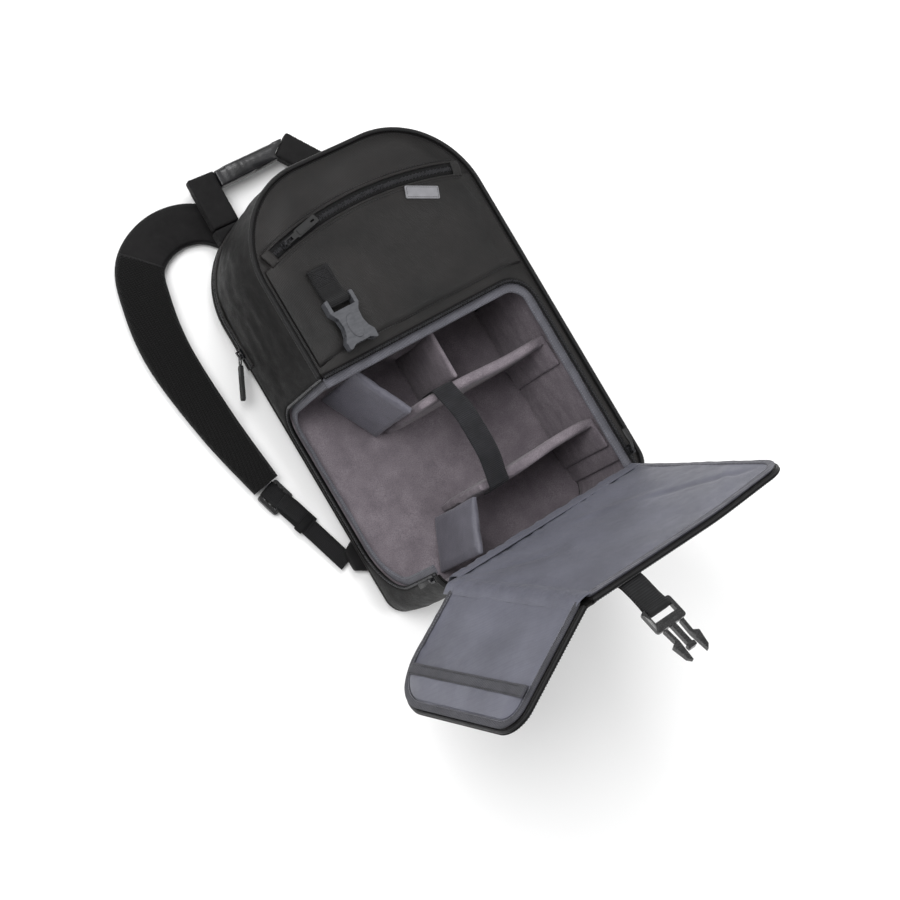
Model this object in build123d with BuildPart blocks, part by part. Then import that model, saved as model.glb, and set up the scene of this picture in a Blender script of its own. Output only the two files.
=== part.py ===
from build123d import *
import math
import os

os.makedirs("parts", exist_ok=True)

# A split-use backpack for a folding drone, lying on its back with the lid of its lower compartment open.
# X runs to the bag's right seen from the front, Y to its top, Z out of its front.
# The origin is the centre of the back face, which rests on the ground at Z = 0.

# Bag envelope
WIDTH = 275.0
HEIGHT = 448.0
DEPTH = 155.0
TOP_RADIUS = 95.0
BOTTOM_RADIUS = 24.0
LEFT = -WIDTH / 2
RIGHT = WIDTH / 2
TOP = HEIGHT / 2
BOTTOM = -HEIGHT / 2

# Padded walls, from the back to the front
PAD_THICK = 10.0
BACK_PANEL_TOP = 16.0
BACK_LINER_BASE = 18.0
FLOOR_LEVEL = 22.0
FRONT_BASE = 147.0
WALL = 6.0
LINER = 4.0

# Lower compartment, which opens at the front and round the left side
OPEN_TOP = 24.0
OPEN_RIGHT = 126.0
OPEN_RADIUS = 30.0
LOW_CORNER_RADIUS = 16.0
HINGE_CORNER_RADIUS = 10.0
HINGE_Y = -216.0
SIDE_LOW = -200.0
SIDE_BACK = 23.0
SIDE_LOW_RADIUS = 60.0
SIDE_HIGH_RADIUS = 30.0
ZIP_WIDTH = 3.0
ZIP_THICK = 3.0
GAP = 0.4
BINDING_WIDTH = 10.0
SIDE_BINDING_WIDTH = 9.0
CEILING_THICK = 8.0

# Lid, open as it is left while the drone is taken out
LID_OPEN = 106.0
SIDE_FOLD = 120.0
LID_THICK = 8.0
SHELL_THICK = 5.0

# Dividers
DIVIDER_THICK = 9.0
DIVIDER_TOP = 126.0
UPPER_ROW_Y = -47.0
LOWER_ROW_Y = -149.0
BATTERY_DIVIDER_X = 12.5
GEAR_STRAP_X = -12.0
WEBBING = 25.0
WEBBING_THICK = 2.0

# Front pocket and its zip, which runs on a shallow arch
POCKET_ARCH = 420.0
POCKET_ARCH_TOP = 168.0
POCKET_TOP = 158.0
POCKET_SLIDER_TURN = 13.6

# Closing buckle
BUCKLE_X = -84.0
BUCKLE_WIDTH = 34.0
BUCKLE_THICK = 10.0
BUCKLE_LEVEL = 165.0
SOCKET_BAR_Y = 82.0
SOCKET_PATCH_END = 120.0
PLUG_TILT = 50.0
LID_PATCH = (196.0, 231.0)
LID_WEBBING_REACH = 36.0
BAR_RADIUS = 2.0

# Shoulder straps
STRAP_THICK = 10.0
STRAP_AXIS_Z = 10.2
STRAP_AXIS_X = {"left": 148.0, "right": 153.0}


def write_part(piece, label):
    """Names one finished piece and writes it to its own file."""
    piece.part.label = label
    export_step(piece.part, f"parts/{label}.step")


def silhouette(inset=0.0):
    """The bag seen from the front, drawn in from its edge."""
    with BuildSketch(mode=Mode.PRIVATE) as outline:
        Rectangle(WIDTH - 2 * inset, HEIGHT - 2 * inset)
        fillet(outline.vertices().group_by(Axis.Y)[-1], TOP_RADIUS - inset)
        fillet(outline.vertices().group_by(Axis.Y)[0], BOTTOM_RADIUS - inset)
    return outline.sketch


def front_opening(inset=0.0, left=LEFT - 5.0):
    """The opening seen from the front. Its left edge runs over onto the side."""
    low, high, right = HINGE_Y, OPEN_TOP - inset, OPEN_RIGHT - inset
    with BuildSketch(mode=Mode.PRIVATE) as outline:
        with Locations(((left + right) / 2, (low + high) / 2)):
            Rectangle(right - left, high - low)
        fillet(outline.vertices().group_by(Axis.X)[0].sort_by(Axis.Y)[0], LOW_CORNER_RADIUS)
        fillet(outline.vertices().group_by(Axis.X)[-1].sort_by(Axis.Y)[0], HINGE_CORNER_RADIUS)
        fillet(outline.vertices().sort_by(Axis.X)[-2:].sort_by(Axis.Y)[-1], OPEN_RADIUS - inset)
    return outline.sketch


def side_opening(inset=0.0, front=DEPTH + 5.0):
    """The opening in the left side: local X is the bag's Y, and local Y is the bag's Z."""
    low, high, back = SIDE_LOW + inset, OPEN_TOP - inset, SIDE_BACK + inset
    with BuildSketch(mode=Mode.PRIVATE) as outline:
        with Locations(((low + high) / 2, (back + front) / 2)):
            Rectangle(high - low, front - back)
        fillet(outline.vertices().group_by(Axis.Y)[0].sort_by(Axis.X)[0], SIDE_LOW_RADIUS - inset)
        fillet(outline.vertices().group_by(Axis.Y)[0].sort_by(Axis.X)[-1], SIDE_HIGH_RADIUS - inset)
    return outline.sketch


def yz_plane(x):
    """A plane across the bag whose local X is the bag's Y and local Y the bag's Z."""
    return Plane(origin=(x, 0, 0), x_dir=(0, 1, 0), z_dir=(1, 0, 0))


# Frame of the open lid: local X is the bag's X, local Y runs to the lid's tip, local Z is its outer face
lid_turn = math.radians(LID_OPEN)
lid_tip = Vector(0, math.cos(lid_turn), math.sin(lid_turn))
lid_out = Vector(0, -math.sin(lid_turn), math.cos(lid_turn))
LID = Plane(origin=(0, HINGE_Y, DEPTH), x_dir=(1, 0, 0), z_dir=lid_out)

# Frame of the lid's side panel: local X runs back to the fold, local Y to the lid's tip
side_turn = math.radians(SIDE_FOLD)
side_away = Vector(-math.sin(side_turn), 0, 0) - lid_out * math.cos(side_turn)
side_out = Vector(-math.cos(side_turn), 0, 0) + lid_out * math.sin(side_turn)
SIDE = Plane(origin=(LEFT, HINGE_Y, DEPTH), x_dir=-side_away, z_dir=side_out)

# Frame of the buckle plug, held off the lid's outer face by a short run of webbing
plug_turn = math.radians(LID_OPEN + PLUG_TILT)
plug_tip = Vector(0, math.cos(plug_turn), math.sin(plug_turn))
plug_out = Vector(0, -math.sin(plug_turn), math.cos(plug_turn))
patch_level = lid_out * (WEBBING_THICK / 2)
patch_ends = [Vector(BUCKLE_X, HINGE_Y, DEPTH) + lid_tip * t + patch_level for t in LID_PATCH]
plug_origin = patch_ends[1] + plug_tip * LID_WEBBING_REACH
PLUG = Plane(origin=plug_origin, x_dir=(1, 0, 0), z_dir=plug_out)

# ---------------------------------------------------------------- back

with BuildPart() as back_pads:
    with BuildSketch(Plane.XY):
        with Locations((0, 72)):
            RectangleRounded(210, 180, 24)
        with Locations((0, -122)):
            RectangleRounded(210, 176, 24)
    extrude(amount=PAD_THICK)
    chamfer(back_pads.faces().sort_by(Axis.Z)[-1].edges(), 1.5)
write_part(back_pads, "back_pads")

with BuildPart() as back_panel:
    with BuildSketch(Plane.XY.offset(PAD_THICK)):
        add(silhouette())
    extrude(amount=BACK_PANEL_TOP - PAD_THICK)
write_part(back_panel, "back_panel")

with BuildPart() as frame_sheet:
    with BuildSketch(Plane.XY.offset(BACK_PANEL_TOP)):
        add(silhouette(WALL + 6))
    extrude(amount=BACK_LINER_BASE - BACK_PANEL_TOP)
write_part(frame_sheet, "frame_sheet")

with BuildPart() as back_liner:
    with BuildSketch(Plane.XY.offset(BACK_LINER_BASE)):
        add(silhouette(WALL + 0.5))
    extrude(amount=FLOOR_LEVEL - BACK_LINER_BASE)
write_part(back_liner, "back_liner")

# ---------------------------------------------------------------- walls

with BuildPart() as gusset:
    with BuildSketch(Plane.XY.offset(BACK_PANEL_TOP)):
        add(silhouette())
        add(silhouette(WALL), mode=Mode.SUBTRACT)
    extrude(amount=FRONT_BASE - BACK_PANEL_TOP)
    with BuildSketch(yz_plane(LEFT - 2)):
        add(side_opening())
    extrude(amount=WALL + 6, mode=Mode.SUBTRACT)
write_part(gusset, "gusset")

with BuildPart() as front_panel:
    with BuildSketch(Plane.XY.offset(FRONT_BASE)):
        add(silhouette(3.0))
        add(front_opening(), mode=Mode.SUBTRACT)
    extrude(amount=DEPTH - FRONT_BASE)
write_part(front_panel, "front_panel")

with BuildPart() as front_piping:
    with BuildSketch(Plane.XY.offset(FRONT_BASE)):
        add(silhouette(-1.5))
        add(silhouette(3.0), mode=Mode.SUBTRACT)
        with Locations((LEFT, (OPEN_TOP + SIDE_LOW) / 2)):
            Rectangle(20, OPEN_TOP - SIDE_LOW, mode=Mode.SUBTRACT)
    extrude(amount=DEPTH - FRONT_BASE + 1)
write_part(front_piping, "front_piping")

with BuildPart() as ceiling_panel:
    with BuildSketch(Plane.XY.offset(FLOOR_LEVEL)):
        with Locations((0, OPEN_TOP + 2 + CEILING_THICK / 2)):
            Rectangle(WIDTH - 2 * WALL, CEILING_THICK)
    extrude(amount=FRONT_BASE - FLOOR_LEVEL)
write_part(ceiling_panel, "ceiling_panel")

with BuildPart() as ceiling_liner:
    with BuildSketch(Plane.XY.offset(FLOOR_LEVEL)):
        with Locations((2, OPEN_TOP + 2 - LINER / 2)):
            Rectangle(WIDTH - 2 * WALL - 4, LINER)
    extrude(amount=FRONT_BASE - 6 - FLOOR_LEVEL)
write_part(ceiling_liner, "ceiling_liner")

liner_edge = RIGHT - WALL
with BuildPart() as right_liner:
    with BuildSketch(Plane.XY.offset(FLOOR_LEVEL)):
        with Locations((liner_edge - LINER / 2, (SIDE_LOW + OPEN_TOP - LINER) / 2 + 1)):
            Rectangle(LINER, OPEN_TOP - LINER - SIDE_LOW)
    extrude(amount=FRONT_BASE - 6 - FLOOR_LEVEL)
write_part(right_liner, "right_liner")

with BuildPart() as bottom_liner:
    with BuildSketch(Plane.XY.offset(FLOOR_LEVEL)):
        with Locations((0, BOTTOM + WALL + LINER / 2)):
            Rectangle(WIDTH - 2 * BOTTOM_RADIUS, LINER)
    extrude(amount=FRONT_BASE - 6 - FLOOR_LEVEL)
write_part(bottom_liner, "bottom_liner")

# Stiff binding tape that trims the edge of the opening, at the front and on the left side
with BuildPart() as opening_binding:
    with BuildSketch(Plane.XY.offset(FRONT_BASE - 3)):
        add(front_opening(ZIP_WIDTH, left=LEFT + LID_THICK + 0.5))
        add(front_opening(ZIP_WIDTH + BINDING_WIDTH, left=LEFT - 1), mode=Mode.SUBTRACT)
    extrude(amount=2.0)
    with BuildSketch(yz_plane(LEFT + WALL)):
        add(side_opening(2, front=FRONT_BASE - 4))
        add(side_opening(SIDE_BINDING_WIDTH, front=DEPTH), mode=Mode.SUBTRACT)
    extrude(amount=2.0)
write_part(opening_binding, "opening_binding")

with BuildPart() as body_zip_track:
    with BuildSketch(Plane.XY.offset(DEPTH - ZIP_THICK)):
        add(front_opening())
        add(front_opening(ZIP_WIDTH, left=LEFT - 8), mode=Mode.SUBTRACT)
        with Locations((LEFT - 5, 0)):
            Rectangle(13, HEIGHT, mode=Mode.SUBTRACT)
    extrude(amount=ZIP_THICK)
    with BuildSketch(yz_plane(LEFT)):
        add(side_opening(front=DEPTH - ZIP_THICK))
        add(side_opening(ZIP_WIDTH), mode=Mode.SUBTRACT)
    extrude(amount=ZIP_THICK)
write_part(body_zip_track, "body_zip_track")

with BuildPart() as laptop_sleeve:
    with BuildSketch(Plane.XY.offset(FLOOR_LEVEL + 14)):
        with Locations((0, 108)):
            RectangleRounded(228, 140, 20)
    extrude(amount=3.0)
    with BuildSketch(Plane.XY.offset(FLOOR_LEVEL)):
        with Locations((0, 41)):
            Rectangle(228, 6)
    extrude(amount=17.0)
write_part(laptop_sleeve, "laptop_sleeve")

# ---------------------------------------------------------------- dividers

divider_height = DIVIDER_TOP - FLOOR_LEVEL - 0.5
divider_plane = Plane.XY.offset(FLOOR_LEVEL + 0.5)
divider_end = liner_edge - LINER


def long_divider(left_end, row_y):
    """Outline of a divider across the compartment, with the tab that sticks to the right wall."""
    with BuildSketch(mode=Mode.PRIVATE) as outline:
        with Locations(((left_end + divider_end) / 2, row_y)):
            Rectangle(divider_end - left_end, DIVIDER_THICK)
        with Locations((divider_end - 2.5, row_y - 18)):
            Rectangle(5, 30)
    return outline.sketch


def slanted_divider(start, end):
    """Outline of a short divider that runs at a slant between two points."""
    with BuildSketch(mode=Mode.PRIVATE) as outline:
        with BuildLine():
            Line(start, end)
        trace(line_width=DIVIDER_THICK - 2)
    return outline.sketch


with BuildPart() as upper_divider:
    with BuildSketch(divider_plane):
        add(long_divider(-46, UPPER_ROW_Y))
    extrude(amount=divider_height)
write_part(upper_divider, "upper_divider")

with BuildPart() as lower_divider:
    with BuildSketch(divider_plane):
        add(long_divider(-33, LOWER_ROW_Y))
    extrude(amount=divider_height)
write_part(lower_divider, "lower_divider")

with BuildPart() as battery_divider:
    with BuildSketch(divider_plane):
        with Locations((BATTERY_DIVIDER_X, (UPPER_ROW_Y + OPEN_TOP) / 2)):
            Rectangle(DIVIDER_THICK - 2, OPEN_TOP - UPPER_ROW_Y - 15)
    extrude(amount=divider_height - 4)
write_part(battery_divider, "battery_divider")

with BuildPart() as upper_left_divider:
    with BuildSketch(divider_plane):
        add(slanted_divider((-88, 17), (-54, -47)))
    extrude(amount=divider_height)
write_part(upper_left_divider, "upper_left_divider")

with BuildPart() as lower_left_divider:
    with BuildSketch(divider_plane):
        add(slanted_divider((-42, -152), (-70, -208)))
    extrude(amount=divider_height)
write_part(lower_left_divider, "lower_left_divider")

# Strap that holds the drone down, arched from the upper divider to the lower one
strap_low = DIVIDER_TOP + 0.5
with BuildPart() as gear_strap:
    with BuildSketch(yz_plane(GEAR_STRAP_X - WEBBING / 2)):
        with BuildLine():
            reach = DIVIDER_THICK / 2
            first = (UPPER_ROW_Y + reach, strap_low + WEBBING_THICK / 2)
            last = (LOWER_ROW_Y - reach, strap_low + WEBBING_THICK / 2)
            ThreePointArc(first, ((first[0] + last[0]) / 2, strap_low + 14), last)
        trace(line_width=WEBBING_THICK)
    extrude(amount=WEBBING)
write_part(gear_strap, "gear_strap")

# ---------------------------------------------------------------- front pocket

arch_centre_y = POCKET_ARCH_TOP - POCKET_ARCH


def pocket_arch_band(inner, outer, reach):
    """A band that follows the pocket's arch for reach degrees to each side."""
    with BuildSketch(mode=Mode.PRIVATE) as band:
        with Locations((0, arch_centre_y)):
            Circle(outer)
            Circle(inner, mode=Mode.SUBTRACT)
            half = outer * 1.3 * math.tan(math.radians(reach))
            wedge = [(0, 0), (-half, outer * 1.3), (half, outer * 1.3)]
        with Locations((0, arch_centre_y)):
            with BuildLine(mode=Mode.PRIVATE) as edge:
                Polyline(*wedge, close=True)
            add(make_face(edge.line, mode=Mode.PRIVATE), mode=Mode.INTERSECT)
    return band.sketch


with BuildPart() as pocket_panel:
    with BuildSketch(Plane.XY.offset(DEPTH)):
        add(silhouette(12))
        with Locations((0, arch_centre_y)):
            Circle(POCKET_ARCH - 6, mode=Mode.INTERSECT)
        with Locations((0, OPEN_TOP - HEIGHT / 2 + 10)):
            Rectangle(WIDTH, HEIGHT, mode=Mode.SUBTRACT)
    extrude(amount=POCKET_TOP - DEPTH)
write_part(pocket_panel, "pocket_panel")

with BuildPart() as pocket_zip_track:
    with BuildSketch(Plane.XY.offset(DEPTH)):
        add(pocket_arch_band(POCKET_ARCH - 6 + GAP, POCKET_ARCH + 6, 16.0))
    extrude(amount=1.2)
    with BuildSketch(Plane.XY.offset(DEPTH + 1.2)):
        add(pocket_arch_band(POCKET_ARCH - 2, POCKET_ARCH + 2, 15.5))
    extrude(amount=1.6)
write_part(pocket_zip_track, "pocket_zip_track")

slider_radians = math.radians(POCKET_SLIDER_TURN)
slider_x = -POCKET_ARCH * math.sin(slider_radians)
slider_y = arch_centre_y + POCKET_ARCH * math.cos(slider_radians)
coil_top = DEPTH + 2.8
SLIDER_FRAME = Plane(
    origin=(slider_x, slider_y, coil_top + 0.3),
    x_dir=(math.cos(slider_radians), math.sin(slider_radians), 0),
    z_dir=(0, 0, 1),
)


def zip_slider(plane):
    """A zip slider: a plate over the teeth with a bridge that holds the pull."""
    with BuildPart(mode=Mode.PRIVATE) as slider:
        with BuildSketch(plane):
            RectangleRounded(11, 8, 2)
        extrude(amount=1.6)
        with BuildSketch(plane.offset(1.6)):
            with Locations((-3.5, 0), (3.5, 0)):
                Rectangle(2, 3)
        extrude(amount=2.6)
        with BuildSketch(plane.offset(4.2)):
            Rectangle(9, 3)
        extrude(amount=1.2)
    return slider.part


def zip_pull(plane, length, width):
    """A moulded pull: a window whose end bar turns under the slider's bridge, and a grip with a slot."""
    with BuildPart(mode=Mode.PRIVATE) as pull:
        with BuildSketch(plane.offset(2.0)):
            with Locations((7.5 - 0.8, 0)):
                Rectangle(15, 6)
            with Locations((14 + (length - 14) / 2, 0)):
                RectangleRounded(length - 14, width, 2)
            with Locations((4.8, 0)):
                Rectangle(8, 3.6, mode=Mode.SUBTRACT)
            with Locations((length - 7, 0)):
                Rectangle(7, 2, mode=Mode.SUBTRACT)
        extrude(amount=1.8)
        with BuildSketch(plane.offset(3.8)):
            with Locations((14 + (length - 14) / 2 - 3, 0)):
                RectangleRounded(length - 26, width - 3, 1.5)
        extrude(amount=0.8)
    return pull.part


with BuildPart() as pocket_slider:
    add(zip_slider(SLIDER_FRAME))
write_part(pocket_slider, "pocket_slider")

with BuildPart() as pocket_pull:
    add(zip_pull(SLIDER_FRAME, 44.0, 9.0))
write_part(pocket_pull, "pocket_pull")

with BuildPart() as blank_patch:
    with BuildSketch(Plane.XY.offset(POCKET_TOP)):
        with Locations(Location((66, 143, 0), -24)):
            RectangleRounded(38, 14, 1.5)
    extrude(amount=1.0)
write_part(blank_patch, "blank_patch")

# ---------------------------------------------------------------- buckle


def webbing_loop(plane, patch_end, bar_level):
    """Webbing sewn flat at one end and looped round a buckle bar at the plane's origin."""
    with BuildPart(mode=Mode.PRIVATE) as loop:
        across = Plane(
            origin=plane.origin - plane.x_dir * WEBBING / 2,
            x_dir=plane.y_dir,
            z_dir=plane.x_dir,
        )
        with BuildSketch(across):
            with Locations((patch_end / 2, -bar_level + WEBBING_THICK / 2)):
                Rectangle(abs(patch_end), WEBBING_THICK)
            with Locations((0, -bar_level / 2)):
                Rectangle(WEBBING_THICK, bar_level)
            Circle(BAR_RADIUS + 0.3 + WEBBING_THICK)
            Circle(BAR_RADIUS + 0.3, mode=Mode.SUBTRACT)
        extrude(amount=WEBBING)
    return loop.part


SOCKET = Plane(origin=(BUCKLE_X, SOCKET_BAR_Y, BUCKLE_LEVEL), x_dir=(1, 0, 0), z_dir=(0, 0, 1))

with BuildPart() as buckle_webbing:
    add(webbing_loop(SOCKET, SOCKET_PATCH_END - SOCKET_BAR_Y, BUCKLE_LEVEL - POCKET_TOP))
write_part(buckle_webbing, "buckle_webbing")

SOCKET_CAVITY = 27.0
CAVITY_THICK = 6.4
# Half of the socket's outline: square at its bar, waisted where the latches show, flared at its mouth
SOCKET_EDGE = [(17, 4), (17, -10), (12.5, -17), (11.5, -27), (13.5, -35), (17.5, -41), (17, -51), (9, -46.5)]
socket_base = SOCKET.offset(-BUCKLE_THICK / 2)
with BuildPart() as buckle_socket:
    with BuildSketch(socket_base) as socket_outline:
        with BuildLine():
            Polyline(*SOCKET_EDGE, *[(-x, y) for x, y in SOCKET_EDGE[::-1]], close=True)
        make_face()
        fillet(socket_outline.vertices(), 1.8)
        with Locations((0, -2)):
            Rectangle(WEBBING + 1, 15, mode=Mode.SUBTRACT)
    extrude(amount=BUCKLE_THICK)
    with BuildSketch(SOCKET.offset(BUCKLE_THICK / 2)):
        with Locations((0, -30)):
            Ellipse(7.5, 13)
    extrude(amount=1.2, taper=25)
    with BuildSketch(SOCKET.offset(-CAVITY_THICK / 2)):
        with Locations((0, -34)):
            Rectangle(SOCKET_CAVITY, 36)
        with Locations((0, -29)):
            Rectangle(BUCKLE_WIDTH + 4, 14)
    extrude(amount=CAVITY_THICK, mode=Mode.SUBTRACT)
    with Locations(Location(SOCKET.location.position, (0, 90, 0))):
        Cylinder(BAR_RADIUS, WEBBING + 2)
write_part(buckle_socket, "buckle_socket")

webbing_end = plug_origin - plug_tip * (BAR_RADIUS + 0.3 + WEBBING_THICK / 2)
with BuildPart() as lid_webbing:
    with BuildSketch(yz_plane(BUCKLE_X - WEBBING / 2)):
        with BuildLine():
            Polyline(*[(p.Y, p.Z) for p in (*patch_ends, webbing_end)])
        trace(line_width=WEBBING_THICK)
        with Locations((plug_origin.Y, plug_origin.Z)):
            Circle(BAR_RADIUS + 0.3 + WEBBING_THICK)
            Circle(BAR_RADIUS + 0.3, mode=Mode.SUBTRACT)
    extrude(amount=WEBBING)
    with BuildSketch(LID.offset(-10)):
        with Locations((BUCKLE_X, LID_PATCH[0])):
            Rectangle(WEBBING + 10, 2 * (LID_PATCH[1] - LID_PATCH[0]))
    extrude(amount=10, mode=Mode.SUBTRACT)
write_part(lid_webbing, "lid_webbing")

PLUG_BASE = 19.0
PLUG_LENGTH = 56.0
PLUG_THICK = 5.0
ARM_OFFSET = 10.0
plug_base = PLUG.offset(-PLUG_THICK / 2)
with BuildPart() as buckle_plug:
    with BuildSketch(plug_base):
        with Locations((0, 8)):
            RectangleRounded(BUCKLE_WIDTH, PLUG_BASE + 5, 3)
        with Locations((0, 3)):
            Rectangle(WEBBING + 1, 16, mode=Mode.SUBTRACT)
        with Locations((0, (PLUG_BASE + PLUG_LENGTH - 12) / 2)):
            Rectangle(5, PLUG_LENGTH - 12 - PLUG_BASE + 1.5)
        with Locations((0, PLUG_LENGTH - 12)):
            RectangleRounded(9, 5, 1.5)
    extrude(amount=PLUG_THICK)
    with Locations(Location(plug_origin, (0, 90, 0))):
        Cylinder(BAR_RADIUS, WEBBING + 2)
write_part(buckle_plug, "buckle_plug")

for side, sign in (("left", -1), ("right", 1)):
    with BuildPart() as latch_arm:
        with BuildSketch(plug_base):
            with BuildLine():
                Polyline(
                    (sign * (ARM_OFFSET - 2), PLUG_BASE + 1.5),
                    (sign * (ARM_OFFSET + 2), PLUG_BASE + 1.5),
                    (sign * (ARM_OFFSET + 1), 34),
                    (sign * (ARM_OFFSET + 6), 37),
                    (sign * (ARM_OFFSET + 3), PLUG_LENGTH - 4),
                    (sign * (ARM_OFFSET - 1), PLUG_LENGTH),
                    (sign * (ARM_OFFSET - 3), 36),
                    close=True,
                )
            make_face()
        extrude(amount=PLUG_THICK)
    write_part(latch_arm, f"{side}_latch_arm")

# ---------------------------------------------------------------- main zip

MAIN_ZIP_Z = 18.0
MAIN_SLIDER_Y = 97.0
MAIN_ZIP_END = 78.0
with BuildPart() as main_zip_track:
    for thick, low, high in ((0.8, 0.0, 9.0), (2.0, 3.0, 6.0)):
        with BuildSketch(Plane.XY.offset(MAIN_ZIP_Z + low)):
            add(silhouette(-thick))
            add(silhouette(), mode=Mode.SUBTRACT)
            with Locations((0, MAIN_ZIP_END - HEIGHT / 2)):
                Rectangle(WIDTH + 20, HEIGHT, mode=Mode.SUBTRACT)
        extrude(amount=high - low)
write_part(main_zip_track, "main_zip_track")

MAIN_SLIDER = Plane(
    origin=(LEFT - 2.3, MAIN_SLIDER_Y, MAIN_ZIP_Z + 4.5), x_dir=(0, -1, 0), z_dir=(-1, 0, 0)
)
with BuildPart() as main_slider:
    add(zip_slider(MAIN_SLIDER))
write_part(main_slider, "main_slider")

# The pull stands 27 degrees off the side, turned about the slider's bridge
pull_lean = math.radians(27)
bridge = MAIN_SLIDER.origin + Vector(-2.9, 0, 0)
MAIN_PULL = Plane(
    origin=bridge,
    x_dir=(-math.sin(pull_lean), -math.cos(pull_lean), 0),
    z_dir=(-math.cos(pull_lean), math.sin(pull_lean), 0),
)
with BuildPart() as main_pull_ring:
    with BuildSketch(MAIN_PULL.offset(-0.7)):
        with Locations((5.3, 0)):
            RectangleRounded(12, 8, 2.5)
            RectangleRounded(9.2, 5, 1.5, mode=Mode.SUBTRACT)
    extrude(amount=1.4)
write_part(main_pull_ring, "main_pull_ring")

with BuildPart() as main_pull:
    with BuildSketch(MAIN_PULL.offset(-1.8)):
        with Locations((11.3 + 19, 0)):
            RectangleRounded(38, 8, 3.5)
        with Locations((34, 0)):
            RectangleRounded(22, 2.4, 1.1, mode=Mode.SUBTRACT)
    extrude(amount=3.6)
write_part(main_pull, "main_pull")

# ---------------------------------------------------------------- handle

HANDLE_BASE = 12.0
HANDLE_THICK = 14.0
HANDLE_Y = 226.0
LEG_WIDTH = 32.0
GRIP_WIDTH = 21.0
TAB_REACH = 23.0
CUT_CLEARANCE = 0.2
LEG_BOTTOM = HANDLE_Y + 0.5
# Foot and knee of each leg, and the grip's middle line between the knees
handle_legs = [((-80, LEG_BOTTOM), (-78, 286)), ((66, LEG_BOTTOM), (25, 282))]
grip_ends = [(-79, 274.5), (30, 278)]
handle_plane = Plane.XY.offset(HANDLE_BASE)

with BuildPart() as handle_tabs:
    with BuildSketch(handle_plane):
        with Locations(*[(foot[0], HANDLE_Y - 0.5 - TAB_REACH / 2) for foot, _ in handle_legs]):
            Rectangle(LEG_WIDTH + 2, TAB_REACH)
        add(silhouette(-2.2), mode=Mode.SUBTRACT)
    extrude(amount=HANDLE_THICK)
write_part(handle_tabs, "handle_tabs")

with BuildPart() as handle_webbing:
    with BuildSketch(handle_plane.offset(1)):
        for foot, knee in handle_legs:
            with BuildLine():
                Line(foot, knee)
            trace(line_width=LEG_WIDTH)
        with Locations((0, LEG_BOTTOM - LEG_WIDTH / 2)):
            Rectangle(WIDTH, LEG_WIDTH, mode=Mode.SUBTRACT)
    extrude(amount=HANDLE_THICK - 2)
write_part(handle_webbing, "handle_webbing")

with BuildPart() as handle_grip:
    with BuildSketch(handle_plane):
        with BuildLine():
            Line(*grip_ends)
        trace(line_width=GRIP_WIDTH)
        for foot, knee in handle_legs:
            with BuildLine():
                Line(foot, knee)
            trace(line_width=LEG_WIDTH + CUT_CLEARANCE, mode=Mode.SUBTRACT)
    extrude(amount=HANDLE_THICK)
write_part(handle_grip, "handle_grip")

# ---------------------------------------------------------------- shoulder straps

# Middle line of each strap on the ground, from the bag's top to its ladder lock, as distance from the
# bag's middle and height along the bag. The right strap is pulled in closer than the left one.
STRAP_LINES = {
    "left": [(-58, 200), (-96, 242), (-140, 250), (-181, 230), (-198, 188), (-206, 128), (-199, 42), (-186, -34)],
    "right": [(58, 200), (80, 232), (110, 224), (146, 200), (172, 166), (186, 118), (187, 42), (182, -34)],
}
STRAP_HALF_WIDTHS = [18, 22, 24, 25, 25, 24, 20, 15]
LOCK_LENGTH = 26.0
ANCHOR_Y = -146.0


def strap_outline(line):
    """A band round the strap's middle line, as wide at each point as its half width says."""
    edges = []
    for turn in (-1, 1):
        edge = []
        for i, (x, y) in enumerate(line):
            before, after = line[max(i - 1, 0)], line[min(i + 1, len(line) - 1)]
            along = Vector(after[0] - before[0], after[1] - before[1]).normalized()
            half = STRAP_HALF_WIDTHS[i] * turn
            edge.append((x - along.Y * half, y + along.X * half))
        edges.append(edge)
    with BuildSketch(mode=Mode.PRIVATE) as outline:
        with BuildLine():
            Spline(*edges[0])
            Spline(*edges[1])
            Line(edges[0][0], edges[1][0])
            Line(edges[0][-1], edges[1][-1])
        make_face()
    return outline.sketch


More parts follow.
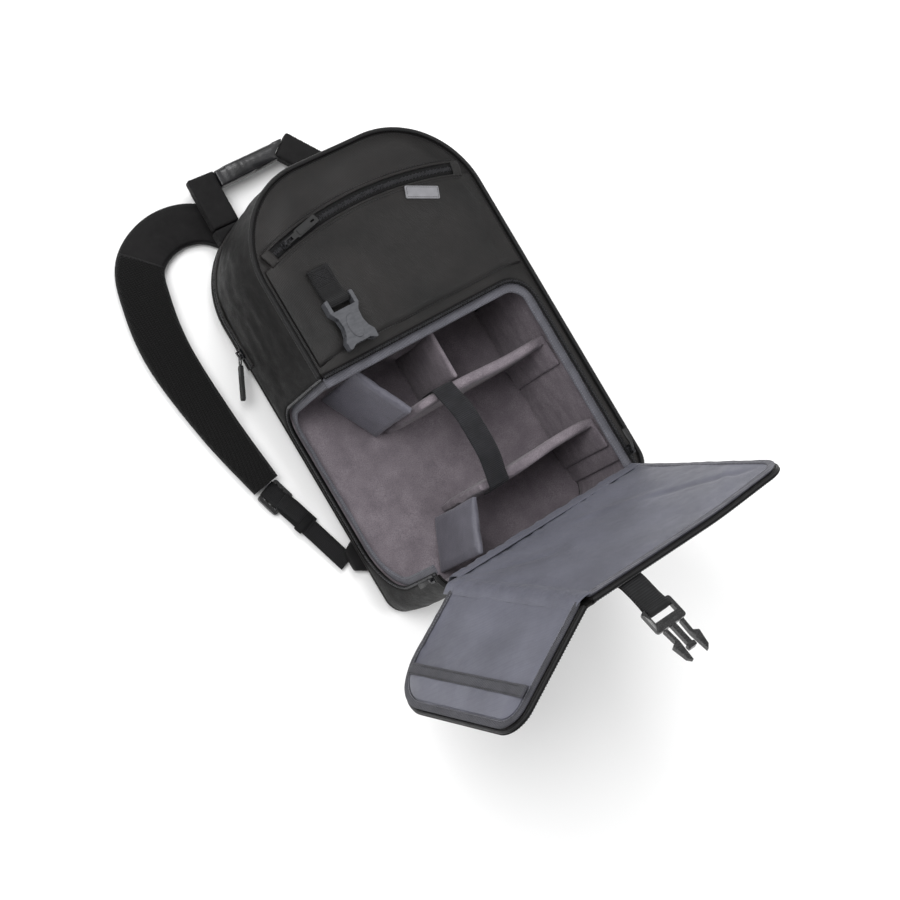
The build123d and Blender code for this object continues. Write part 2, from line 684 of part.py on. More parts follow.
for side, sign in (("left", -1), ("right", 1)):
    line = STRAP_LINES[side]
    axis_x = sign * STRAP_AXIS_X[side]
    outline = strap_outline(line)

    with BuildPart() as strap_yoke:
        with BuildSketch(Plane.XY.offset(0.5)):
            add(outline)
            with Locations((axis_x + sign * (100 - 0.4), 0)):
                Rectangle(200, 700, mode=Mode.SUBTRACT)
        extrude(amount=STRAP_THICK - 0.7)
    write_part(strap_yoke, f"{side}_strap_yoke")

    with BuildPart() as strap_pad:
        with BuildSketch(Plane.XY):
            add(outline)
            with Locations((axis_x - sign * (100 - 0.4), 0)):
                Rectangle(200, 700, mode=Mode.SUBTRACT)
        extrude(amount=STRAP_THICK)
    write_part(strap_pad, f"{side}_strap_pad")

    end = Vector(*line[-1])
    anchor = Vector(axis_x + sign * 3, ANCHOR_Y)
    along = (anchor - end).normalized()
    lock_middle = end + along * (LOCK_LENGTH / 2 + 3)
    lock_plane = Plane(
        origin=(lock_middle.X, lock_middle.Y, 1.0), x_dir=(along.X, along.Y, 0), z_dir=(0, 0, 1)
    )
    with BuildPart() as ladder_lock:
        with BuildSketch(lock_plane):
            RectangleRounded(LOCK_LENGTH, 30, 3)
            with Locations((-7.5, 0), (0, 0), (7.5, 0)):
                Rectangle(3.4, 22, mode=Mode.SUBTRACT)
        extrude(amount=4.5)
    write_part(ladder_lock, f"{side}_ladder_lock")

    webbing_start = lock_middle + along * (LOCK_LENGTH / 2 + 0.3)
    length = (anchor - webbing_start).length
    webbing_plane = Plane(
        origin=(webbing_start.X, webbing_start.Y, 3.0), x_dir=(along.X, along.Y, 0), z_dir=(0, 0, 1)
    )
    with BuildPart() as strap_webbing:
        with BuildSketch(webbing_plane):
            with Locations((length / 2, 0)):
                Rectangle(length, 20)
        extrude(amount=WEBBING_THICK)
        with BuildSketch(Plane.XY.offset(2)):
            with Locations((axis_x - sign * (50 - 0.5), ANCHOR_Y)):
                Rectangle(100, 200)
        extrude(amount=6, mode=Mode.SUBTRACT)
    write_part(strap_webbing, f"{side}_strap_webbing")

    with BuildPart() as anchor_tab:
        with BuildSketch(Plane.XY.offset(3.0)):
            with BuildLine():
                Polyline(
                    (sign * 112, ANCHOR_Y + 30),
                    (axis_x - sign * 0.5, ANCHOR_Y + 11),
                    (axis_x - sign * 0.5, ANCHOR_Y - 11),
                    (sign * 112, ANCHOR_Y - 30),
                    close=True,
                )
            make_face()
        extrude(amount=PAD_THICK - 3.0)
    write_part(anchor_tab, f"{side}_anchor_tab")

# ---------------------------------------------------------------- right side

POCKET_BULGE = 11.0
SIDE_POCKET_LOW = -190.0
SIDE_POCKET_HIGH = -20.0
pocket_length = SIDE_POCKET_HIGH - SIDE_POCKET_LOW
with BuildPart() as side_pocket:
    with BuildSketch(Plane(origin=(RIGHT, SIDE_POCKET_LOW, 84), x_dir=(0, 0, 1), z_dir=(0, 1, 0))):
        with Locations((0, POCKET_BULGE / 2)):
            RectangleRounded(112, POCKET_BULGE, 5)
            Rectangle(112 - 5, POCKET_BULGE - 5, mode=Mode.SUBTRACT)
        with Locations((0, 1.25)):
            Rectangle(107, 8.5 - POCKET_BULGE / 2 + 2.5, mode=Mode.SUBTRACT)
    extrude(amount=pocket_length)
    with BuildSketch(Plane(origin=(RIGHT, SIDE_POCKET_LOW, 84), x_dir=(0, 0, 1), z_dir=(0, 1, 0))):
        with Locations((0, POCKET_BULGE / 2)):
            RectangleRounded(112, POCKET_BULGE, 5)
    extrude(amount=3)
write_part(side_pocket, "side_pocket")

with BuildPart() as compression_strap:
    with BuildSketch(yz_plane(RIGHT)):
        with Locations((88, 88)):
            Rectangle(20, 114)
    extrude(amount=WEBBING_THICK)
write_part(compression_strap, "compression_strap")

with BuildPart() as compression_lock:
    with BuildSketch(yz_plane(RIGHT + WEBBING_THICK)):
        with Locations((88, 100)):
            RectangleRounded(28, 20, 2.5)
            with Locations((0, -4), (0, 4)):
                Rectangle(22, 3, mode=Mode.SUBTRACT)
    extrude(amount=3.5)
write_part(compression_lock, "compression_lock")

# ---------------------------------------------------------------- lid

lid_edge = LEFT + LID_THICK + 0.4
lid_inset = ZIP_WIDTH + GAP


def lid_outline(inset):
    """The lid's front panel in its own frame, drawn in from the zip."""
    with BuildSketch(mode=Mode.PRIVATE) as outline:
        add(Pos(0, -HINGE_Y) * front_opening(inset, left=lid_edge))
        with Locations((0, 0)):
            Rectangle(WIDTH + 40, 1.0, mode=Mode.SUBTRACT)
    return outline.sketch


with BuildPart() as lid_shell:
    with BuildSketch(LID.offset(-SHELL_THICK)):
        add(lid_outline(lid_inset + ZIP_WIDTH))
    extrude(amount=SHELL_THICK)
write_part(lid_shell, "lid_shell")

with BuildPart() as lid_liner:
    with BuildSketch(LID.offset(-LID_THICK)):
        add(lid_outline(lid_inset + ZIP_WIDTH + 3))
    extrude(amount=LID_THICK - SHELL_THICK)
write_part(lid_liner, "lid_liner")

with BuildPart() as lid_zip_track:
    with BuildSketch(LID.offset(-ZIP_THICK)):
        add(lid_outline(lid_inset))
        add(lid_outline(lid_inset + ZIP_WIDTH), mode=Mode.SUBTRACT)
    extrude(amount=ZIP_THICK)
write_part(lid_zip_track, "lid_zip_track")


def side_outline(inset):
    """The lid's side panel in its own frame, where local X runs back to the fold."""
    low = SIDE_LOW - HINGE_Y + inset
    high = OPEN_TOP - HINGE_Y - inset
    depth = DEPTH - SIDE_BACK - inset
    with BuildSketch(mode=Mode.PRIVATE) as outline:
        with Locations((-depth / 2 - 0.2, (low + high) / 2)):
            Rectangle(depth - 0.4, high - low)
        fillet(outline.vertices().group_by(Axis.X)[0].sort_by(Axis.Y)[0], SIDE_LOW_RADIUS - inset)
        fillet(outline.vertices().group_by(Axis.X)[0].sort_by(Axis.Y)[-1], SIDE_HIGH_RADIUS - inset)
    return outline.sketch


with BuildPart() as lid_side_shell:
    with BuildSketch(SIDE.offset(-SHELL_THICK)):
        add(side_outline(lid_inset + ZIP_WIDTH))
    extrude(amount=SHELL_THICK)
write_part(lid_side_shell, "lid_side_shell")

with BuildPart() as lid_side_liner:
    with BuildSketch(SIDE.offset(-LID_THICK)):
        add(side_outline(lid_inset + ZIP_WIDTH + 3))
    extrude(amount=LID_THICK - SHELL_THICK)
write_part(lid_side_liner, "lid_side_liner")

with BuildPart() as lid_side_zip_track:
    with BuildSketch(SIDE.offset(-ZIP_THICK)):
        add(side_outline(lid_inset))
        add(side_outline(lid_inset + ZIP_WIDTH), mode=Mode.SUBTRACT)
    extrude(amount=ZIP_THICK)
write_part(lid_side_zip_track, "lid_side_zip_track")

# A slip pocket across the side panel's lining, along its free edge
SLIP_POCKET_EDGE = 14.0
SLIP_POCKET_MOUTH = -86.0
with BuildPart() as lid_side_pocket:
    with BuildSketch(SIDE.offset(-LID_THICK - 1.2)):
        add(side_outline(SLIP_POCKET_EDGE))
        with Locations((SLIP_POCKET_MOUTH + 100, (OPEN_TOP + SIDE_LOW) / 2 - HINGE_Y)):
            Rectangle(200, 300, mode=Mode.SUBTRACT)
    extrude(amount=1.2)
write_part(lid_side_pocket, "lid_side_pocket")

# ---------------------------------------------------------------- lid zip sliders

RIGHT_SLIDER = Plane(
    origin=(OPEN_RIGHT + 1.2, HINGE_Y + 22, DEPTH + 0.3), x_dir=(0, 1, 0), z_dir=(0, 0, 1)
)
with BuildPart() as right_lid_slider:
    add(zip_slider(RIGHT_SLIDER))
write_part(right_lid_slider, "right_lid_slider")

LEFT_SLIDER = Plane(
    origin=(LEFT - 0.3, SIDE_LOW - 1.2, DEPTH - 14), x_dir=(0, 0, 1), z_dir=(-1, 0, 0)
)
with BuildPart() as left_lid_slider:
    add(zip_slider(LEFT_SLIDER))
write_part(left_lid_slider, "left_lid_slider")
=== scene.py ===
"""Looks of a split-use backpack for a folding drone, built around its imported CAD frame.

Lengths in this script are millimetres in the CAD's own frame, turned to metres as each mesh is made.
"""

import math

import bmesh
import bpy
import numpy as np
from mathutils import Matrix, Vector, noise
from mathutils.geometry import delaunay_2d_cdt


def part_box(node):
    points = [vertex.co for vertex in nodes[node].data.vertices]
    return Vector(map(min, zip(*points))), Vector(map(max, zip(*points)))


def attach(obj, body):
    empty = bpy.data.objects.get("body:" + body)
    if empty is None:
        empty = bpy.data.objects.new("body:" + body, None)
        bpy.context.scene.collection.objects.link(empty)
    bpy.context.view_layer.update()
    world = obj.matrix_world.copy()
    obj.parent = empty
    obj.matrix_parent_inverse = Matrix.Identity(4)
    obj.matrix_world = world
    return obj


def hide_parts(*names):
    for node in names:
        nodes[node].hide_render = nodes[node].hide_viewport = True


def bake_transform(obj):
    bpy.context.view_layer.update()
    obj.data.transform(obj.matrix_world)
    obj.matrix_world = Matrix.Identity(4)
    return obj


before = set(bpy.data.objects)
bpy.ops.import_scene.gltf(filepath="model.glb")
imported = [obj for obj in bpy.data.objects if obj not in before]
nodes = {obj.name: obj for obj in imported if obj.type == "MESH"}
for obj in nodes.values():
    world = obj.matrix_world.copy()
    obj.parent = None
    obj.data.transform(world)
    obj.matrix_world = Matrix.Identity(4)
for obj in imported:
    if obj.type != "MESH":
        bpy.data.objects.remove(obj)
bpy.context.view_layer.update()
scene = bpy.context.scene
MM = 0.001
UP = (0, 0, 1)
LEFTWARD = (-1, 0, 0)


def box_mm(node):
    """Lowest and highest corner of a CAD node, in millimetres."""
    low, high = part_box(node)
    return np.array(low) / MM, np.array(high) / MM


# ------------ dimensions the CAD also uses

(LEFT, BOTTOM, BACK), (RIGHT, TOP, FRONT_BASE) = box_mm("gusset")
DEPTH = box_mm("front_panel")[1][2]
FLOOR_LEVEL = box_mm("back_liner")[1][2]
TOP_RADIUS = 95.0
BOTTOM_RADIUS = 24.0
OPEN_TOP = 24.0
OPEN_RIGHT = 126.0
OPEN_RADIUS = 30.0
LOW_CORNER_RADIUS = 16.0
HINGE_CORNER_RADIUS = 10.0
HINGE_Y = -216.0
SIDE_LOW = -200.0
SIDE_BACK = 23.0
SIDE_LOW_RADIUS = 60.0
SIDE_HIGH_RADIUS = 30.0
LID_LEFT = -129.1
LID_LENGTH = OPEN_TOP - HINGE_Y
FOLD_GAP = -0.4
LID_OPEN = 106.0
SIDE_FOLD = 120.0
POCKET_ARCH = 420.0
POCKET_ARCH_TOP = 168.0
POCKET_TOP = box_mm("pocket_panel")[1][2]
BUCKLE_X = -84.0
WEBBING = 25.0


# ------------ lines and outlines


def unit(vectors):
    """The same vectors, one long."""
    vectors = np.asarray(vectors, float)
    return vectors / np.maximum(np.linalg.norm(vectors, axis=-1, keepdims=True), 1e-9)


def smoothstep(value):
    """Rises smoothly from 0 to 1 as value does."""
    value = np.clip(value, 0.0, 1.0)
    return value * value * (3 - 2 * value)


def divide(points, step, closed=True):
    """The same line with no stretch between its points longer than step."""
    points = [np.asarray(p, float) for p in points]
    ends = points[1:] + points[:1] if closed else points[1:]
    out = []
    for a, b in zip(points, ends):
        pieces = max(1, math.ceil(np.linalg.norm(b - a) / step))
        out += [a + (b - a) * k / pieces for k in range(pieces)]
    if not closed:
        out.append(points[-1])
    return np.array(out)


def rounded(corners, step=4.0, closed=True):
    """Points along an outline given as (x, y, radius) corners."""
    points = []
    for i, (x, y, radius) in enumerate(corners):
        corner = np.array((x, y), float)
        at_end = not closed and i in (0, len(corners) - 1)
        if radius <= 0 or at_end:
            points.append(corner)
            continue
        before = unit(np.array(corners[i - 1][:2], float) - corner)
        after = unit(np.array(corners[(i + 1) % len(corners)][:2], float) - corner)
        half = math.acos(np.clip(before @ after, -1, 1)) / 2
        centre = corner + unit(before + after) * radius / math.sin(half)
        start = corner + before * radius / math.tan(half) - centre
        turn = math.copysign(math.pi - 2 * half, before[1] * after[0] - before[0] * after[1])
        first = math.atan2(start[1], start[0])
        pieces = max(3, math.ceil(radius * abs(turn) / step))
        for k in range(pieces + 1):
            angle = first + turn * k / pieces
            points.append(centre + radius * np.array((math.cos(angle), math.sin(angle))))
    return divide(points, step, closed)


def smooth_line(points, step):
    """A smooth line through a few points, sampled about every step."""
    points = np.asarray(points, float)
    padded = np.vstack([2 * points[0] - points[1], points, 2 * points[-1] - points[-2]])
    out = []
    for i in range(1, len(padded) - 2):
        a, b, c, d = padded[i - 1 : i + 3]
        pieces = max(1, math.ceil(np.linalg.norm(c - b) / step))
        for t in np.arange(pieces) / pieces:
            bend = (2 * a - 5 * b + 4 * c - d) * t**2 + (3 * b - a - 3 * c + d) * t**3
            out.append(0.5 * (2 * b + (c - a) * t + bend))
    out.append(points[-1])
    return np.array(out)


def lengths_along(path):
    """Distance along a path to each of its points."""
    steps = np.linalg.norm(np.diff(path, axis=0), axis=1)
    return np.concatenate([[0.0], np.cumsum(steps)])


def at_lengths(path, values, lengths):
    """Values given at a path's points, read at distances along it."""
    own = lengths_along(path)
    values = np.asarray(values, float)
    return np.stack([np.interp(lengths, own, values[:, i]) for i in range(values.shape[1])], 1)


def tangents(path, closed=False):
    """Direction of a path at each of its points."""
    if closed:
        return unit(np.roll(path, -1, 0) - np.roll(path, 1, 0))
    return unit(np.gradient(np.asarray(path, float), axis=0))


def field(points, size, seed=0):
    """Smooth noise from about -1 to 1 at some points, with features of that size."""
    scaled = np.asarray(points, float) / size + seed * 17.3
    return np.array([noise.noise(Vector(p)) for p in scaled])


def at_level(points, level=0.0):
    """Points seen flat, with one level or a level for each as their third number."""
    flat = np.asarray(points, float)[:, :2]
    return np.column_stack([flat, np.broadcast_to(level, len(flat))])


def rectangle(left, bottom, right, top, radius):
    """The rounded corners of a rectangle."""
    return [(left, bottom, radius), (right, bottom, radius), (right, top, radius), (left, top, radius)]


def silhouette(inset=0.0, step=4.0):
    """The bag seen from the front, drawn in from its edge, from its bottom middle and counterclockwise."""
    low, high = BOTTOM_RADIUS - inset, TOP_RADIUS - inset
    corners = [
        (0, BOTTOM + inset, 0),
        (RIGHT - inset, BOTTOM + inset, low),
        (RIGHT - inset, TOP - inset, high),
        (LEFT + inset, TOP - inset, high),
        (LEFT + inset, BOTTOM + inset, low),
    ]
    return rounded(corners, step)


def front_opening(inset=0.0, left=LEFT - 5, step=4.0, closed=True):
    """The opening seen from the front: up from the hinge's right end and round to the left when open."""
    corners = [
        (OPEN_RIGHT - inset, HINGE_Y, HINGE_CORNER_RADIUS),
        (OPEN_RIGHT - inset, OPEN_TOP - inset, OPEN_RADIUS - inset),
        (left, OPEN_TOP - inset, 0),
        (left, HINGE_Y, LOW_CORNER_RADIUS),
    ]
    if closed:
        return rounded(corners, step)
    return rounded([(OPEN_RIGHT - inset, HINGE_Y + 6, 0), *corners[1:3]], step, closed=False)


def side_opening(inset=0.0, front=DEPTH + 5, step=4.0, closed=True):
    """The opening in the left side as (Y, Z) points, from its upper front corner round the back."""
    low, high, back = SIDE_LOW + inset, OPEN_TOP - inset, SIDE_BACK + inset
    corners = [
        (high, front, 0),
        (high, back, SIDE_HIGH_RADIUS - inset),
        (low, back, SIDE_LOW_RADIUS - inset),
        (low, front, 0),
    ]
    return rounded(corners, step, closed)


def lid_outline(inset):
    """The lid's front panel, as distance across and distance from the hinge."""
    right, tip = OPEN_RIGHT - inset, LID_LENGTH - inset
    corners = [
        (LID_LEFT, 1.0, LOW_CORNER_RADIUS),
        (right, 1.0, HINGE_CORNER_RADIUS),
        (right, tip, OPEN_RADIUS - inset),
        (LID_LEFT, tip, 0),
    ]
    return rounded(corners)


def side_limits(inset):
    """The lid's side panel: its back edge, its end at the hinge and its end at the lid's tip."""
    return SIDE_BACK + inset - DEPTH, SIDE_LOW - HINGE_Y + inset, LID_LENGTH - inset


def side_outline(inset):
    """The lid's side panel, as distance back to the fold and distance from the hinge."""
    back, low, high = side_limits(inset)
    corners = [
        (back, low, SIDE_LOW_RADIUS - inset),
        (FOLD_GAP, low, 0),
        (FOLD_GAP, high, 0),
        (back, high, SIDE_HIGH_RADIUS - inset),
    ]
    return rounded(corners)


# ------------ frames that place flat work in space


def place_in(origin, across, along, out):
    """A function that takes (across, along, out) points to the bag's frame."""
    origin = np.asarray(origin, float)
    axes = np.array([across, along, out], float)
    return lambda points: origin + np.asarray(points, float) @ axes


lid_turn = math.radians(LID_OPEN)
lid_tip = np.array((0, math.cos(lid_turn), math.sin(lid_turn)))
lid_out = np.array((0, -math.sin(lid_turn), math.cos(lid_turn)))
side_turn = math.radians(SIDE_FOLD)
side_back = np.array((math.sin(side_turn), 0, 0)) + lid_out * math.cos(side_turn)
side_out = np.array((-math.cos(side_turn), 0, 0)) + lid_out * math.sin(side_turn)

on_front = place_in((0, 0, 0), (1, 0, 0), (0, 1, 0), UP)
flat_lid = place_in((0, HINGE_Y, DEPTH), (1, 0, 0), lid_tip, lid_out)
LID_TWIST = 5.0


def on_lid(points):
    """Takes (across, distance from the hinge, out) points to the bag's frame, the free corner bent inward."""
    points = np.array(points, float)
    points[:, 2] -= LID_TWIST * smoothstep((points[:, 0] - 10) / 115) * smoothstep(points[:, 1] / 235)
    return flat_lid(points)


on_side_panel = place_in((LEFT, HINGE_Y, DEPTH), side_back, lid_tip, side_out)

ring = silhouette(0.0, 2.0)
ring = np.vstack([ring, ring[:1]])
ring_out = tangents(ring)
ring_out = np.stack([ring_out[:, 1], -ring_out[:, 0]], 1)
RING_LENGTH = lengths_along(ring)[-1]
LEFT_FOOT = RING_LENGTH - (BOTTOM_RADIUS * math.pi / 2 - LEFT - BOTTOM_RADIUS)


def round_the_bag(points):
    """Takes (distance round the bag's edge, height, out) points to the bag's frame."""
    points = np.asarray(points, float)
    places = at_lengths(ring, ring, points[:, 0])
    outward = unit(at_lengths(ring, ring_out, points[:, 0]))
    flat = places + outward * points[:, 2:3]
    return np.column_stack([flat, points[:, 1]])


# ------------ meshes


def make_piece(name, points, faces, smooth=True):
    """A mesh object from points in millimetres, with its faces turned outward."""
    mesh = bpy.data.meshes.new(name)
    mesh.from_pydata((np.asarray(points, float) * MM).tolist(), [], [list(map(int, f)) for f in faces])
    work = bmesh.new()
    work.from_mesh(mesh)
    bmesh.ops.recalc_face_normals(work, faces=work.faces)
    work.to_mesh(mesh)
    work.free()
    mesh.shade_smooth() if smooth else mesh.shade_flat()
    piece = bpy.data.objects.new(name, mesh)
    scene.collection.objects.link(piece)
    return piece


def inside(points, outline):
    """Which points lie inside a closed outline."""
    x, y = points[:, 0:1], points[:, 1:2]
    ax, ay = outline[:, 0], outline[:, 1]
    bx, by = np.roll(ax, -1), np.roll(ay, -1)
    rise = np.where(by == ay, 1e-9, by - ay)
    crossed = ((ay > y) != (by > y)) & (x < (bx - ax) * (y - ay) / rise + ax)
    return crossed.sum(1) % 2 == 1


def edge_distance(points, starts, ends):
    """How far each point is from the nearest of some straight edges."""
    nearest = np.full(len(points), 1e9)
    for a, b in zip(starts, ends):
        along = b - a
        share = np.clip((points - a) @ along / max(along @ along, 1e-9), 0, 1)
        gap = np.linalg.norm(points - a - share[:, None] * along, axis=1)
        nearest = np.minimum(nearest, gap)
    return nearest


def border_of(faces):
    """The directed edges that only one triangle uses."""
    pairs = np.concatenate([faces[:, [0, 1]], faces[:, [1, 2]], faces[:, [2, 0]]])
    _, first, counts = np.unique(np.sort(pairs, 1), axis=0, return_index=True, return_counts=True)
    return pairs[first[counts == 1]]


def fill(outline, cuts, cell, rows):
    """Triangles that fill an outline less its cuts: (points, faces, each point's distance from the edge)."""
    loops = [np.asarray(outline, float), *[np.asarray(c, float) for c in cuts]]
    fixed = np.vstack(loops)
    links, start = [], 0
    for loop in loops:
        count = len(loop)
        links += [(start + i, start + (i + 1) % count) for i in range(count)]
        start += count

    def within(points):
        kept = inside(points, loops[0])
        for cut in loops[1:]:
            kept &= ~inside(points, cut)
        return kept

    def triangles(extra):
        points = [Vector(p) for p in np.vstack([fixed, extra])]
        found = delaunay_2d_cdt(points, links, [], 0, 1e-4)
        places = np.array([tuple(v) for v in found[0]])
        faces = np.array([f for f in found[2] if len(f) == 3])
        return places, faces[within(places[faces].mean(1))]

    places, faces = triangles(np.zeros((0, 2)))
    edges = border_of(faces)
    starts, ends = places[edges[:, 0]], places[edges[:, 1]]
    extra = []
    for loop in loops:
        ahead = tangents(loop, closed=True)
        sideways = np.stack([-ahead[:, 1], ahead[:, 0]], 1)
        for row in rows:
            for sign in (-1, 1):
                line = loop + sideways * row * sign
                line = line[within(line)]
                extra.append(line[edge_distance(line, starts, ends) > row * 0.9])
    low, high = loops[0].min(0), loops[0].max(0)
    for number, y in enumerate(np.arange(low[1], high[1], cell * 0.866)):
        xs = np.arange(low[0] + (number % 2) * cell / 2, high[0], cell)
        line = np.stack([xs, np.full(len(xs), y)], 1)
        line = line[within(line)]
        if len(line):
            extra.append(line[edge_distance(line, starts, ends) > rows[-1] + cell * 0.4])
    places, faces = triangles(np.vstack(extra))
    used = np.unique(faces)
    renumber = np.full(len(places), -1)
    renumber[used] = np.arange(len(used))
    places, faces = places[used], renumber[faces]
    edges = border_of(faces)
    return places, faces, edge_distance(places, places[edges[:, 0]], places[edges[:, 1]])


def panel(name, outline, place, low, high, cuts=(), cell=5.0, edge=None, relief=None, under=None):
    """A padded panel between two levels, its edge rounded and its two faces moved by relief and under."""
    edge = edge or (high - low) * 0.45
    flat, faces, distance = fill(outline, cuts, cell, (0.35 * edge, edge))
    fall = edge * (1 - np.sqrt(np.clip(1 - (1 - np.clip(distance / edge, 0, 1)) ** 2, 0, 1)))
    fall = np.minimum(fall, (high - low) * 0.45)
    top, bottom = high - fall, low + fall
    if relief:
        top = top + relief(flat, distance)
    if under:
        bottom = bottom + under(flat, distance)
    points = np.vstack([place(np.column_stack([flat, top])), place(np.column_stack([flat, bottom]))])
    count = len(flat)
    edges = border_of(faces)
    sides = [(b, a, a + count, b + count) for a, b in edges]
    return make_piece(name, points, [*faces, *(faces[:, ::-1] + count), *sides])


def cloth_sheet(name, grid, thick):
    """A closed piece of cloth through a grid of points. thick is one number or one for each point."""
    grid = np.asarray(grid, float)
    rows, columns = grid.shape[:2]
    normals = unit(np.cross(np.gradient(grid, axis=0), np.gradient(grid, axis=1)))
    half = np.broadcast_to(np.asarray(thick, float), (rows, columns))[..., None] / 2
    points = np.vstack([(grid + normals * half).reshape(-1, 3), (grid - normals * half).reshape(-1, 3)])
    index = np.arange(rows * columns).reshape(rows, columns)
    a, b, c, d = index[:-1, :-1], index[1:, :-1], index[1:, 1:], index[:-1, 1:]
    tops = np.stack([a, b, c, d], -1).reshape(-1, 4)
    rim = np.concatenate([index[0, :-1], index[:-1, -1], index[-1, :0:-1], index[:0:-1, 0]])
    after = np.roll(rim, -1)
    under = rows * columns
    sides = np.stack([rim, after, after + under, rim + under], -1)
    return make_piece(name, points, [*tops, *(tops[:, ::-1] + under), *sides])


def ribbon(name, path, ups, width, thick, columns=7, lift=None):
    """A flat strap along a path, its face turned to ups."""
    path = np.asarray(path, float)
    ups = np.broadcast_to(np.asarray(ups, float), path.shape)
    across = unit(np.cross(tangents(path), ups))
    shares = np.linspace(-0.5, 0.5, columns)
    widths = np.broadcast_to(np.asarray(width, float), (len(path),))[:, None, None]
    grid = path[:, None, :] + shares[None, :, None] * widths * across[:, None, :]
    if lift is not None:
        grid = grid + lift(grid.reshape(-1, 3)).reshape(*grid.shape[:2], 1) * unit(ups)[:, None, :]
    crown = np.broadcast_to(thick * (1 - 0.45 * (2 * np.abs(shares)) ** 6)[None, :], grid.shape[:2])
    return cloth_sheet(name, grid, crown)


def tube(name, path, ups, radius, closed=False, sides=10):
    """A round cord of sewn piping along a path."""
    path = np.asarray(path, float)
    ups = np.broadcast_to(np.asarray(ups, float), path.shape)
    ahead = tangents(path, closed)
    across = unit(np.cross(ahead, ups))
    up = np.cross(across, ahead)
    angles = np.linspace(0, 2 * math.pi, sides, endpoint=False)
    circle = np.stack([np.cos(angles), np.sin(angles)], 1) * radius
    rings = path[:, None, :] + circle[None, :, :1] * across[:, None, :] + circle[None, :, 1:] * up[:, None, :]
    count = len(path)
    faces = []
    for i in range(count if closed else count - 1):
        here, there = i * sides, (i + 1) % count * sides
        for k in range(sides):
            after = (k + 1) % sides
            faces.append((here + k, here + after, there + after, there + k))
    if not closed:
        faces += [list(range(sides)), list(range((count - 1) * sides, count * sides))[::-1]]
    return make_piece(name, rings.reshape(-1, 3), faces)


def beads(name, path, ups, pitch, size, offsets=(0.0,), rise=0.0):
    """Small blocks at a pitch along a path: zip teeth or stitches. size is (along, across, tall)."""
    path = np.asarray(path, float)
    ups = np.broadcast_to(np.asarray(ups, float), path.shape)
    total = lengths_along(path)[-1]
    spots = np.arange(pitch / 2, total, pitch)
    middle = at_lengths(path, path, spots)
    ahead = unit(at_lengths(path, tangents(path), spots))
    up = unit(at_lengths(path, ups, spots))
    across = unit(np.cross(ahead, up))
    moved = np.array([offsets[i % len(offsets)] for i in range(len(spots))])
    middle = middle + across * moved[:, None] + up * rise
    corners = []
    for level, share in ((-0.5, 1.0), (0.15, 1.0), (0.5, 0.62)):
        for a, b in ((-0.5, -0.5), (0.5, -0.5), (0.5, 0.5), (-0.5, 0.5)):
            flat = ahead * a * size[0] * share + across * b * size[1] * share
            corners.append(middle + flat + up * level * size[2])
    points = np.stack(corners, 1).reshape(-1, 3)
    block = [(3, 2, 1, 0), (8, 9, 10, 11)]
    for layer in (0, 4):
        block += [(layer + k, layer + (k + 1) % 4, layer + 4 + (k + 1) % 4, layer + 4 + k) for k in range(4)]
    faces = [[i * 12 + v for v in face] for i in range(len(spots)) for face in block]
    return make_piece(name, points, faces, smooth=False)


def settle(piece):
    """Applies a piece's modifiers to its mesh."""
    graph = bpy.context.evaluated_depsgraph_get()
    made = bpy.data.meshes.new_from_object(piece.evaluated_get(graph))
    piece.modifiers.clear()
    piece.data = made
    made.shade_smooth()


def read_points(piece):
    """A piece's points as an array in metres."""
    points = np.zeros(len(piece.data.vertices) * 3)
    piece.data.vertices.foreach_get("co", points)
    return points.reshape(-1, 3)


def write_points(piece, points):
    """Moves a piece's points."""
    piece.data.vertices.foreach_set("co", np.asarray(points, np.float32).ravel())
    piece.data.update()


def soft_copy(node, name, voxel, shrink=0.0, rounds=4):
    """A remeshed copy of a CAD node whose edges are rounded off."""
    piece = bpy.data.objects.new(name, nodes[node].data.copy())
    piece.data.materials.clear()
    scene.collection.objects.link(piece)
    weld = piece.modifiers.new("weld", "WELD")
    weld.merge_threshold = 1e-5
    remesh = piece.modifiers.new("remesh", "REMESH")
    remesh.mode = "VOXEL"
    remesh.voxel_size = voxel * MM
    settle(piece)
    if shrink:
        normals = np.zeros(len(piece.data.vertices) * 3)
        piece.data.vertices.foreach_get("normal", normals)
        write_points(piece, read_points(piece) - normals.reshape(-1, 3) * shrink * MM)
    smooth = piece.modifiers.new("smooth", "SMOOTH")
    smooth.factor = 0.5
    smooth.iterations = rounds
    settle(piece)
    return piece


CLOTH_FRAMES = 20


def inflate(piece, cap, pressure):
    """Swells a padded piece as cloth filled with foam, no point moving further than cap."""
    rest = read_points(piece)
    cloth = piece.modifiers.new("cloth", "CLOTH")
    cloth.settings.quality = 4
    cloth.settings.use_pressure = True
    cloth.settings.uniform_pressure_force = pressure
    cloth.settings.effector_weights.gravity = 0
    cloth.point_cache.frame_start = 1
    cloth.point_cache.frame_end = CLOTH_FRAMES
    for number in range(1, CLOTH_FRAMES + 1):
        scene.frame_set(number)
    settle(piece)
    shift = read_points(piece) - rest
    reach = np.linalg.norm(shift, axis=1, keepdims=True)
    shift *= np.minimum(1.0, cap * MM / np.maximum(reach, 1e-9))
    write_points(piece, rest + shift)
    scene.frame_set(1)
    finer = piece.modifiers.new("finer", "SUBSURF")
    finer.levels = 1
    settle(piece)


# ------------ materials


def shade(red, green, blue):
    """A colour given as 0 to 255 screen values, as Blender wants it."""
    linear = [((c / 255 + 0.055) / 1.055) ** 2.4 if c > 10 else c / 255 / 12.92 for c in (red, green, blue)]
    return (*linear, 1.0)


def darker(colour, share):
    """A colour with its light cut to a share, used as painted shade in the hollows of the woven looks."""
    return tuple(c * share for c in colour[:3]) + (1.0,)


